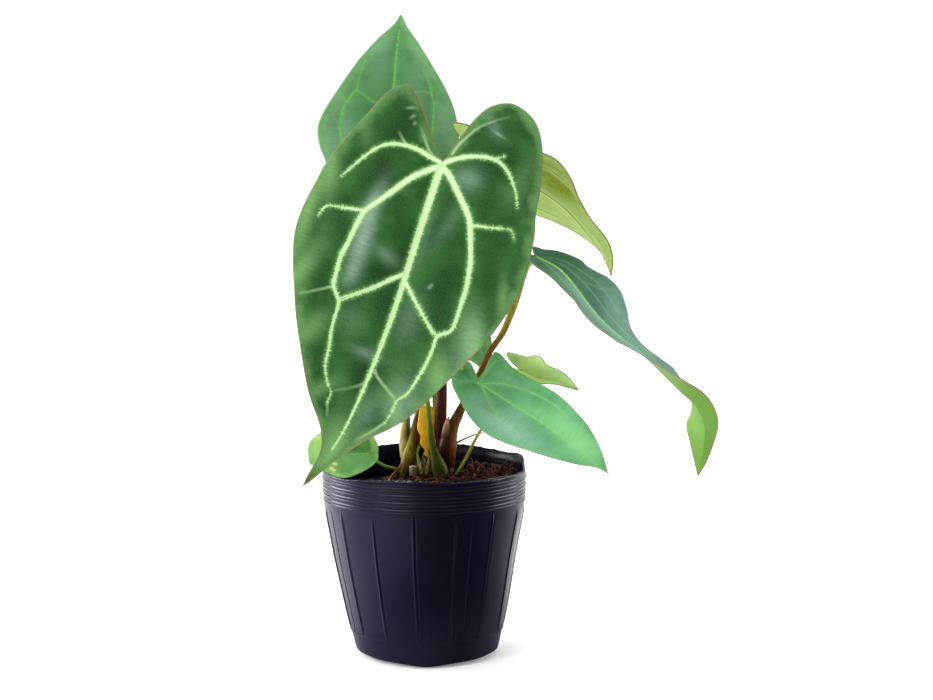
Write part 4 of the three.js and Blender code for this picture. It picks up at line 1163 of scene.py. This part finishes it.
# Leaf A is the large one in front: deep green velvet with pale, feathered veins, a paler margin and a
# thin red-brown edge. It hangs down and forward from the tip of its dark stalk.
leaf_a = Leaf(
    midrib=[(10.5, -30, 290.5), (-0.5, -46, 257.5), (-19, -66, 201), (-43, -78, 145.5),
            (-66.6, -84.5, 113.6)],
    facing=[(0, -1, 0.35), (0.1, -1, 0.15)],
    fold=[[7, 14], [7, 14]], curl=[[-0.23, 0], [-0.23, 0]], lobe_turn=-0.004, wave=(1.2, 46, 0),
    lobe_share=0.4,
    sides=[
        [(-3, 0), (-9, 5.6), (-22, 14.6), (-32, 21.6), (-39, 27), (-43, 33), (-41, 38), (-34, 43.6),
         (-20, 49.5), (2, 57.6), (18, 62.6), (31, 64.5), (59, 67), (79, 63.6), (107, 53.7), (130, 42),
         (152.5, 28), (168, 13.5), (175, 8), (182, 4.4), (190, 2.8), (197, 1.6), (202.8, 0)],
        [(-3, 0), (-8, -1.8), (-21.5, -6), (-36, -11), (-46, -17.5), (-51, -29), (-44, -43),
         (-28.7, -51.8), (-7, -57.7), (14.6, -60.5), (27, -63.3), (45, -64.8), (63, -64.4), (79, -59.7),
         (93, -54.5), (106, -48.2), (123, -40), (143, -30), (162, -14.6), (173, -8), (182, -4.6),
         (190, -3.4), (197, -2), (202.8, 0)]],
    sink=1.1, sink_reach=5,
    # the first list of patches paints a grey sheen and a few pale scuffs; the next paints shade on the
    # panels
    sheen_and_scuffs=[(34, 30, 13, 4, 12, 0.7), (58, 29, 22, 5, 0, 0.95), (62, 14, 4, 8, 20, 0.4),
           (79, 29, 6, 4, 0, 0.35), (119, 6, 3.5, 10, 0, 0.5), (4, -17, 7, 8, 0, 0.55),
           (93, -10, 14, 7, 0, 0.3), (104, 20, 9, 7, 0, 0.2), (100, -46, 20, 8, -12, 0.35),
           (47, -4, 22, 3, 0, 0.22), (36, -14, 16, 4, 15, 0.22), (-32, -22, 9, 4, -40, 0.3),
           (135, -22, 14, 9, 0, 0.45), (150, -6, 12, 6, 0, 0.3), (-29, 27, 2.4, 0.7, 70, 1),
           (-24, 24.5, 1.8, 0.7, 30, 1), (-20, 22, 1.2, 0.7, 0, 0.9), (-28, -26, 4, 0.7, 110, 0.8),
           (72, -15.5, 1.6, 1, 30, 0.9)],
    shade=[(13, 33, 15, 7, 10, 0.95), (20, 20, 12, 5, 40, 0.7), (-14, 28, 14, 8, 0, 0.9),
           (72, 15, 9, 11, 10, 1), (130, 3, 9, 10, 0, 0.8), (85, -24, 16, 7, 0, 0.75),
           (30, -10, 30, 5, 5, 0.6), (22, -45, 14, 9, 0, 0.75), (-12, -34, 14, 10, 0, 0.8),
           (105, 34, 9, 6, 0, 0.5), (60, 4, 16, 5, 0, 0.6), (90, 8, 14, 6, 0, 0.5),
           (55, -46, 16, 8, 0, 0.6), (60, -22, 22, 8, 0, 0.5), (110, -8, 16, 8, 0, 0.3),
           (50, 44, 20, 5, 0, 0.4)],
    # the first two of these patches paint the olive shade where the left lobe's inner edge rolls back; the
    # last two tint the tip
    flush_and_shade=[(-26, 17.5, 15, 2.2, -34, 0.8), (-40, 28.5, 5, 3, -34, 0.5), (198, 0, 5, 2, 0, 0.8),
           (191, -1, 5, 2, 0, 0.4)],
    pale=[(-2, -46, 20, 7, 10, 0.25), (184, 0, 14, 6, 0, 0.6), (170, 0, 10, 10, 0, 0.25),
          (-10, 48, 20, 4, -22, 0.25), (18, 60, 22, 5, -14, 0.65), (50, 64, 26, 5, 0, 0.8),
          (90, 58, 22, 6, 16, 0.7), (122, 42, 18, 6, 26, 0.55), (150, 24, 14, 5, 38, 0.5),
          (95, -49, 16, 7, -24, 0.85), (120, -38, 16, 7, -24, 0.7), (146, -24, 14, 6, -35, 0.6),
          (166, 4, 16, 7, 0, 0.35), (70, -57, 14, 3, -14, 0.5)],
    veins=[
        ([(0, 0), (60, 0), (120, 0), (177, 0)], 1.85, 0.12),
        ([(0, 0.5), (-1.8, 0.5), (-3, 7), (-5, 14), (-5.5, 22), (-4, 30.5), (0, 37), (6.6, 42), (15, 47),
          (24, 52)], 1.25, 0.15),
        ([(0.6, 1), (8.6, 10), (15, 15.5), (25, 22), (35, 29), (41, 33), (51, 35), (62, 36.5), (70, 38),
          (82, 37.5), (89, 36.6), (97, 31), (107, 30), (115, 29), (123, 27), (134, 25), (143, 20),
          (147, 16), (153, 15.6)], 1.5, 0.12),
        ([(41, 33), (41.3, 37), (42.5, 44.5), (44, 53.5), (47.6, 56), (52, 57)], 0.7, 0.15),
        ([(69, 1), (74, 7), (81, 14), (88, 22), (94, 29), (96, 31)], 0.95, 0.75),
        ([(73, -1), (81, -8.5), (88, -16), (95, -24), (97, -28)], 0.75, 0.6),
        ([(0, -0.5), (5, -6.6), (16, -16), (24, -22.5), (31, -26.5), (50, -32.5), (59, -34), (67, -35),
          (76, -35), (85, -35), (92, -34), (97, -28), (104, -28), (113, -27.5), (122, -26), (131, -24),
          (137, -20), (143, -20), (150, -19)], 1.5, 0.12),
        ([(30.5, -28), (29, -38), (27, -49), (32, -53)], 0.6, 0.15),
        ([(-2, -1), (-3, -2), (-7.5, -8.5), (-11, -17), (-12.5, -26), (-11, -32.5), (-7, -38), (-2, -42),
          (4.5, -46), (13, -49)], 1.25, 0.15),
        ([(-9, -4), (-14, -5.5), (-20, -8.5), (-28, -13), (-34, -19), (-41, -28)], -0.2, -1.0),
        ([(-4, 6), (-7, 9.5), (-15, 15.5), (-19, 18.5)], -0.2, -1.1),
        ([(126, -2), (129, -5), (134, -14), (137, -20)], -0.3, -0.5),
        ([(132, 0), (137, 3), (145, 14)], -0.5, -1.0),
        ([(89, 36.6), (95, 44), (101.5, 53)], -0.2, -0.9),
        ([(-5.5, 22), (-9, 26), (-12, 29)], -0.1, -1.0),
        ([(-12.5, -28), (-16, -33)], 0.3, 0.1),
        ([(150, -19), (158, -14), (166, -8)], -0.3, -1.1),
        ([(153, 15.6), (162, 12)], -0.3, -1.1),
    ])
leaf_pieces(
    "a", leaf_a, "leaf_deep", (230, 66),
    {"Hair": "7ab45c", "Flush And Shade": "4c5a28", "Deep": "16441b", "Mid": "2c622a", "Light": "84b470",
     "Sheen And Scuffs": "94ae9c", "Vein": "bfe2a2", "Margin": "9c6c58", "Fringe": 1.15, "Light Reach": 8.0,
     "Light Share": 0.4, "Sheen And Scuffs Share": 0.85, "Margin Width": 0.35, "Glow": 0.25},
    {"Base": "6f9a4c", "Pale": "9cc070", "Margin": "a06a50"}, "bce0a0", "daf2c8",
    gloss=0.05, sheen=0.0)


# Leaf B stands upright behind and above the large one, on a long thin stalk from the left shoot. It is mid
# green with a painted grey-blue sheen, and its veins are fine and bright green.
leaf_b = Leaf(
    midrib=[(-21.5, 26, 278), (-18.5, 33, 335), (-17, 37, 355), (-14.5, 46, 379)],
    facing=[(0, -1, 0.1), (0, -1, 0.3)],
    fold=[[5, 5], [5, 5]], curl=[[-0.17, -0.17], [-0.17, -0.17]], wave=(0.8, 30, 0), lobe_share=0.4,
    sides=[
        [(-4, 0), (-12, 8), (-22, 17), (-24, 27), (-17, 35), (-5, 40), (10, 41.5), (20, 41), (34, 40),
         (50, 35.5), (68, 25.4), (85.6, 13), (96, 5), (104.5, 0)],
        [(-4, 0), (-12, -8), (-24, -18), (-27, -28), (-18, -36), (-4, -36), (11, -38), (20, -42),
         (31, -44), (41, -41), (57, -32), (71, -23), (86, -12.4), (97, -3.5), (104.5, 0)]],
    sink=0.5, sink_reach=4,
    sheen_and_scuffs=[(20, -30, 25, 12, 0, 0.6), (50, 12, 25, 8, 0, 0.4), (30, 32, 22, 10, 0, 0.5),
           (75, -10, 18, 8, 0, 0.3)],
    shade=[(30, -12, 18, 8, 0, 0.3), (36, 12, 16, 8, 0, 0.35)],
    veins=[
        ([(0, 0), (40, 0), (94, 0)], 0.9, 0.15),
        ([(0, 0), (6, -8), (14, -20), (25, -29), (36.7, -30.5), (45.7, -28.5), (52.7, -24.5), (55.2, -22)],
         0.6, 0.35),
        ([(55.2, -22), (64, -20.5), (73, -17.5)], -0.2, -0.7),
        ([(55.2, -22), (53, -18), (49.5, -13), (44, 0)], -0.2, -0.6),
        ([(0, 0), (6, 8), (14, 17), (22, 23), (29, 24.5), (40, 24.5), (49, 24.5), (57, 22.5)], 0.6, 0.2),
        ([(57, 22.5), (61, 21.5), (69, 17.5)], -0.2, -0.7),
        ([(-1, -1), (-8, -12), (-8, -22), (0, -31)], 0.4, 0.12),
        ([(-1, 1), (-8, 12), (-8, 22), (0, 31)], 0.4, 0.12),
        ([(56, 22.5), (56, 14), (50, 5)], -0.4, -0.8),
    ])
leaf_pieces(
    "b", leaf_b, "leaf_mid", (130, 46),
    {"Hair": "62b048", "Flush And Shade": "5c6630", "Deep": "3a7440", "Mid": "4f8653", "Light": "7cb070",
     "Sheen And Scuffs": "84a58e", "Vein": "6cb84c", "Margin": "6f9a5a", "Fringe": 0.5, "Light Reach": 12.0,
     "Light Share": 0.6, "Sheen And Scuffs Share": 0.9, "Margin Width": 0.1, "Glow": 0.15},
    {"Base": "7aa654", "Pale": "a0c47a", "Margin": "8a9a5a"}, "66b048", "7cc850")


# Leaf C stands at the back right, on a stalk from the right shoot, and turns its back to the front. Its
# under face is olive with a thin brown edge, painted in darker olive shade on its upper half, and its tip
# hangs down.
leaf_c = Leaf(
    midrib=[(37, 14, 289.5), (69, 20, 274.5), (90, 26, 259.5), (105.5, 32, 241.5), (112.5, 36, 222)],
    facing=[(0.3, 0.75, 0.6), (0.6, 0.8, 0.2)],
    wave=(0.8, 34, 0), lobe_share=0.36,
    sides=[
        [(-4, 0), (-12, 4.5), (-24, 11.5), (-31, 17.8), (-24, 21.5), (-8, 23), (8, 24.5), (24, 25.6),
         (33, 25.2), (44, 19.5), (56.4, 10.8), (70.7, 6), (87, 6), (99.4, 4), (108, 0)],
        [(-4, 0), (-9, -5), (-14, -10), (-12, -17), (-3, -20), (14, -23), (32, -22.5), (46, -19.7),
         (59, -15.3), (76, -8.9), (85.4, -5), (94, -1.5), (108, 0)]],
    sink=0.4, sink_reach=4,
    # painted shade, darker olive, on the upper half of the under face
    shade=[(36, 12, 22, 9, 0, 1), (18, 8, 20, 14, 0, 0.9), (52, 9, 8, 5, 0, 0.4), (28, -6, 14, 4, 0, 0.3)],
    veins=[
        ([(0, 0), (40, 0), (62, -1.5), (78, -3), (98, -1)], 0.5, 0.12),
        ([(0, 0), (10, 8), (28.5, 16.5), (38, 16), (49, 14), (55, 11)], 0.3, 0.1),
        ([(0, 0), (12, -9), (30, -14), (46, -13), (60, -9)], 0.3, 0.1),
    ])
leaf_pieces(
    "c", leaf_c, "leaf_olive", (120, 30),
    {"Hair": "7cb85c", "Flush And Shade": "5c6630", "Deep": "2f6a34", "Mid": "3f7a40", "Light": "6ca05a",
     "Sheen And Scuffs": "6d9a78", "Vein": "8ac860", "Margin": "8a5a3c", "Fringe": 0.5, "Light Reach": 8.0,
     "Light Share": 0.5, "Sheen And Scuffs Share": 0.5, "Margin Width": 0.2, "Glow": 0.2},
    {"Base": "b4cc72", "Second": "82921a", "Pale": "c0d888", "Margin": "8a5e34"}, "a89a50", "b0a860")


# Leaf D reaches far to the right. It is narrow and half turned, so that its near half shows its
# paler under face further out, and its tip hangs down in a small curl.
leaf_d = Leaf(
    midrib=[(67, 14, 235.5), (82.5, 12, 226), (104.5, 8, 199), (130, 4, 177), (150, 2, 157.5),
            (161, 1, 147), (166.5, 2, 132), (163, 6, 104)],
    facing=[(0.54, -0.42, 0.72), (0.69, -0.45, 0.55), (0.69, -0.24, 0.68), (0.67, -0.1, 0.74),
            (0.66, 0.5, 0.6), (0.3, 0.95, -0.05)],
    fold=[[-2, 15, 7, 20, 28, 12], [0, 17, 10, 25, 10, 15]], curl=[[0, 0], [0, 0]], wave=(1.5, 40, 2),
    lobe_share=0.3,
    sides=[
        [(-2, 0), (-5, 4), (-4, 8), (3, 12), (16, 18), (32, 24), (50, 27), (80, 26), (105, 20),
         (130, 13), (150, 6.5), (165, 3.5), (175, 0)],
        [(-2, 0), (-5, -5), (-5, -9), (3, -13), (14, -18), (20, -21), (25, -21), (40, -29), (52, -32.5),
         (61, -30), (68, -22), (76, -13), (84, -9.5), (94, -10.5), (105, -13.5), (118, -15.5),
         (130, -16.5), (140, -19), (147, -17), (156, -11), (166, -5), (175, 0)]],
    sink=0.5, sink_reach=3,
    sheen_and_scuffs=[(40, 8, 30, 6, 0, 0.6), (90, 0, 40, 12, 0, 0.7), (60, -20, 30, 8, 0, 0.5),
           (140, 0, 20, 12, 0, 0.6)],
    veins=[
        ([(0, 0), (25, 0), (50, 0), (72, 0)], 0.85, 0.25),
        ([(72, 0), (110, 0), (168, 0)], -0.2, -0.5),
        ([(0, 0), (10, 6), (26, 13), (50, 17), (80, 16), (105, 11)], -0.5, -0.9),
        ([(0, 0), (10, -7), (26, -14), (45, -19), (60, -19)], -0.6, -0.9),
        ([(4, -2), (20, -6), (45, -9), (70, -8), (95, -5)], -0.6, -0.9),
        ([(30, -8), (40, -18), (44, -26)], -0.7, -1.0),
    ])
leaf_pieces(
    "d", leaf_d, "leaf_mid", (170, 34),
    {"Hair": "86d45c", "Flush And Shade": "9a6a50", "Deep": "2c5c44", "Mid": "3d7054", "Light": "5f906c",
     "Sheen And Scuffs": "7f9f94", "Vein": "7fb878", "Margin": "a0787a", "Fringe": 0.7, "Light Reach": 5.0,
     "Light Share": 0.4, "Sheen And Scuffs Share": 0.9, "Margin Width": 0.3, "Glow": 0.1},
    {"Base": "6c9a3c", "Second": "98bc70", "Pale": "78a650", "Margin": "a5605a"}, "a0e870", "aef07c")


# Leaf E hangs to the lower right in front of the pot's rim, at the end of an arched green stalk. It is
# bright green with a painted grey-blue sheen, and thin as the others are.
leaf_e = Leaf(
    midrib=[(33, -22, 164), (49.5, -36, 155), (75, -52, 140.5), (105.5, -62, 117.5)],
    facing=[(0.1, -1, 0.75), (0.1, -1, 0.5)],
    lobe_turn=-0.003, wave=(0.8, 30, 0), lobe_share=0.42,
    sides=[
        [(-3.5, -2), (-10, -5.4), (-17, -8), (-20, -3), (-18, 5), (-13, 10.5), (-6, 14.5), (4.5, 19.1),
         (15, 23), (24, 25.2), (32, 25.3), (42.5, 23.2), (61.5, 16.6), (78.5, 8.3), (88.6, 1.8),
         (96, 0)],
        [(-3.5, -2), (-5, -10), (-7, -15.6), (-9, -20), (-9.6, -22.5), (-6.4, -23.4), (-2, -22.4),
         (5.3, -20.4), (14.7, -19.3), (37, -20.1), (49, -19.2), (60.5, -17), (70.5, -14.5), (79, -10.9),
         (87, -6.6), (96, 0)]],
    sink=0.5, sink_reach=3.5,
    sheen_and_scuffs=[(20, 17, 18, 7, 0, 0.95), (42, 14, 18, 7, 0, 0.7), (8, 8, 8, 5, 0, 0.6),
           (14, -12, 10, 4, 0, 0.4), (30, 4, 14, 5, 0, 0.35)],
    shade=[(-9, -15, 6, 6, 0, 0.55), (-11, -3, 7, 4, 0, 0.5), (-3, -6, 5, 4, 0, 0.4),
           (-14, 2, 6, 4, 0, 0.45)],
    pale=[(55, -6, 20, 8, 0, 0.5), (75, -2, 16, 9, 0, 0.85), (45, -2, 12, 4, 0, 0.25)],
    veins=[
        ([(0, 0), (30, 0), (55, 0)], 0.5, 0.15),
        ([(55, 0), (70, 0), (88, 0)], -0.2, -0.9),
        ([(0, 0), (5, -4), (12, -8), (22, -11), (34, -13)], 0.3, 0.1),
        ([(34, -13), (47, -13), (59, -11.5)], -0.3, -0.9),
        ([(0, 0), (3.4, 1.5), (16, 8), (23, 11)], 0.25, 0.1),
        ([(23, 11), (30, 14), (44, 14)], -0.3, -0.9),
        ([(0, 0), (-3, -8), (-4, -15), (-3, -19)], -0.2, -0.8),
        ([(0, 0), (-5, 2), (-9, 6)], -0.4, -0.9),
    ])
leaf_pieces(
    "e", leaf_e, "leaf_mid", (130, 40),
    {"Hair": "74c458", "Flush And Shade": "2f7a34", "Deep": "478c56", "Mid": "63a877", "Light": "88cc84",
     "Sheen And Scuffs": "8cbca6", "Vein": "86cc78", "Margin": "7c9048", "Fringe": 0.6, "Light Reach": 5.0,
     "Light Share": 0.3, "Sheen And Scuffs Share": 0.95, "Margin Width": 0.25, "Glow": 0.3},
    {"Base": "86b45c", "Pale": "a6cc7c", "Margin": "8aa84c"}, "82c86c", "92d47c")


# Leaf F is a young leaf above it on a thin straight stalk. It is still half rolled along its length,
# soft, pale green, with an orange tip.
leaf_f = Leaf(
    midrib=[(57, -6, 170), (68, -8, 165.5), (78.5, -8, 164), (91.5, -6, 158)],
    facing=[(-0.1, -1, 0.4), (0.1, -1, 0.5)],
    fold=[[57, 46], [6, 12]], curl=[[0, 0], [0.6, 17]], lobe_share=0.36,
    sides=[
        [(-1.5, 0), (-4, 2), (-6, 5), (-2, 8), (6, 9), (16, 8), (26, 5), (37, 0)],
        [(-1.5, 0), (-4.5, -1.4), (-9, -3), (-12, -6.5), (-6, -8), (0, -9), (5, -12.5), (12, -13),
         (19, -9.5), (26, -6), (37, 0)]],
    sink=0.2, sink_reach=2,
    sheen_and_scuffs=[(25, -7, 9, 4, 0, 0.9), (28, 1, 8, 5, 0, 0.7)], shade=[(-7, -4, 4, 5, 0, 0.6),
                                                                  (4, 7, 8, 1.5, 0, 0.4)],
    flush_and_shade=[(36, 0, 2.6, 2.6, 0, 1)],
    veins=[([(0, 0), (16, 0), (33, 0)], 0.4, 0.1)])
leaf_pieces(
    "f", leaf_f, "leaf_young", (80, 26),
    {"Hair": "a8d070", "Flush And Shade": "d88a28", "Deep": "d4ee98", "Mid": "e4f8ac", "Light": "d0f0a0",
     "Sheen And Scuffs": "b8e4c4", "Vein": "e4f8a8", "Margin": "7cb04c", "Fringe": 0.3, "Light Reach": 4.0,
     "Light Share": 0.7, "Sheen And Scuffs Share": 0.5, "Margin Width": 0.2, "Glow": 0.4},
    {"Base": "90cc90", "Second": "a8d070", "Pale": "b4e0a8", "Margin": "6aa84c"}, "c4e088",
    "d0e898", sheen=0.0)


# Leaf G is a small round leaf at the lower left, behind the tip of the large one. Its stalk is short
# and thin, and a few yellow specks mark it.
leaf_g = Leaf(
    midrib=[(-30.5, -31.5, 124.5), (-44, -34, 124.5), (-55.5, -36, 123), (-65.5, -39, 120)],
    facing=[(-0.1, -1, 0.6), (-0.1, -1, 0.6)],
    curl=[[-0.34, -0.34], [-0.34, -0.34]], lobe_share=0.3,
    sides=[
        [(-4.4, 0.2), (-4.8, 3), (-4, 7), (-1, 11), (5, 13), (14, 15), (23, 16), (30, 13), (34, 8),
         (36.5, 0)],
        [(-4.4, -0.2), (-4.4, -2), (-3.4, -5), (1, -9), (8, -13), (16, -15), (24, -13), (31, -8),
         (36.5, 0)]],
    sink=0.6, sink_reach=2.0,
    sheen_and_scuffs=[(8, -6, 9, 5, 0, 0.6)], pale=[(30, 5, 8, 10, 0, 0.9), (24, 13, 6, 4, 0, 0.7)],
    shade=[(10, 3, 12, 2, 0, 0.5)],
    flush_and_shade=[(22, -5.5, 1.6, 1.0, 30, 1), (25, -7.8, 1.8, 0.9, 0, 1), (23.5, -9.5, 1.5, 0.8, 0, 0.9),
           (27, 13, 1, 1, 0, 1)],
    veins=[
        ([(0, 0), (16, 0), (33, 0)], 0.2, 0.1),
        ([(0, 0), (6, 5), (16, 8.5), (26, 7)], -0.4, -0.8),
        ([(0, 0), (6, -5), (16, -8), (26, -6)], -0.4, -0.8),
    ])
leaf_pieces(
    "g", leaf_g, "leaf_mid", (80, 26),
    {"Hair": "6cb85c", "Flush And Shade": "dccf8c", "Deep": "44803e", "Mid": "5c9450", "Light": "a0cc74",
     "Sheen And Scuffs": "84ac88", "Vein": "5f9c48", "Margin": "5fa050", "Fringe": 0.3, "Light Reach": 5.0,
     "Light Share": 0.6, "Sheen And Scuffs Share": 0.6, "Margin Width": 0.1, "Glow": 0.1},
    {"Base": "86b45c", "Pale": "a6cc7c", "Margin": "6aa84c"}, "74c05c", "80cc68", sheen=0.0)


# Leaf H is a small, plain green leaf on a stalk of the left shoot. It hangs behind the stalks and is
# mostly hidden by the large one.
leaf_h = Leaf(
    midrib=[(22.5, 22, 198.5), (28.5, 21, 187), (35, 20, 176), (40.5, 19, 163)],
    facing=[(0.1, -1, 0.4), (0.1, -1, 0.4)],
    lobe_share=0.36,
    sides=[
        [(-2, 0), (-6, 5), (-9, 11), (-4, 16), (5, 17), (18, 13), (28, 7), (42, 0)],
        [(-2, 0), (-6, -5), (-9, -11), (-4, -14), (5, -13), (18, -10), (28, -5), (42, 0)]],
    sink=0.3, sink_reach=2.5,
    veins=[
        ([(0, 0), (20, 0), (38, 0)], 0.4, 0.1),
        ([(0, 0), (6, 7), (16, 9), (26, 6)], 0.25, 0.08),
        ([(0, 0), (6, -6), (16, -7), (26, -4)], 0.25, 0.08),
    ])
leaf_pieces(
    "h", leaf_h, "leaf_mid", (80, 26),
    {"Hair": "8cc474", "Flush And Shade": "c87828", "Deep": "5c9c68", "Mid": "78b47c", "Light": "8cc084",
     "Sheen And Scuffs": "98c0a4", "Vein": "7cc458", "Margin": "6a9a50", "Fringe": 0.35, "Light Reach": 5.0,
     "Light Share": 0.5, "Sheen And Scuffs Share": 0.5, "Margin Width": 0.1, "Glow": 0.15},
    {"Base": "a8c880", "Pale": "c0d898", "Margin": "8a8a4c"}, "8cc870", "80c860")


# The dry scale leaf once wrapped the right shoot. It is thin, papery and yellow-orange, creased
# lengthwise, split along dark cracks and ragged at its edges, and still holds to the shoot's foot.
SCALE_THICKNESS = 0.3
scale_leaf = Leaf(
    midrib=[(6.8, 0.2, 113), (4.2, 0, 120), (2.2, 0.4, 130), (1.6, 1, 140), (1.2, 2, 149)],
    facing=[(0.1, -1, 0), (0.1, -1, 0)],
    fold=[[8, 8], [8, 8]], curl=[[-7, -7], [-6, -6]], lobe_share=0.0, wave=(30, 14, 0.4),
    sides=[
        [(0, 0), (3, 1), (6, 4.6), (8, 3), (11, 5.8), (13.5, 4), (16, 6.4), (20, 5.2), (24, 6.6),
         (28, 6), (34, 4.6), (37, 0)],
        [(0, 0), (3, -1), (5, -2.4), (8, -4.8), (10, -3.4), (14, -5.4), (18, -4.4), (22, -6), (28, -5.2),
         (34, -4), (37, 0)]],
    shade=[(14, 2.6, 6, 0.5, 25, 1), (22, 3.6, 6, 0.4, -14, 0.9), (9, -1, 4, 0.4, 40, 0.8)], sink=0.0)


def papery_paint(tree):
    plane = on_flat_leaf(tree)
    crease = cloud(tree, stretched(tree, plane, (0.08, 1.4, 1)), 1.0, 3, 0.6)
    patches = cloud(tree, plane, 0.12, 2)
    crack = measured(tree, "shade")
    colour = mix(tree, ease(tree, patches, 0.35, 0.65), rgb("ffc41c"), rgb("f0ae24"))
    colour = mix(tree, ease(tree, crease, 0.5, 0.75, 0, 0.7), colour, rgb("cc6c0c"))
    return mix(tree, crack, colour, rgb("4a200c")), crease


papery = finish("papery_scale", papery_paint, 0.65, 0.3, bump=0.6, grain=0.3)
dry_scale = piece("scale_leaf", blade_shape(scale_leaf, 40, 10), [papery], "papery", "sheath_papery")
thicken(dry_scale, SCALE_THICKNESS)
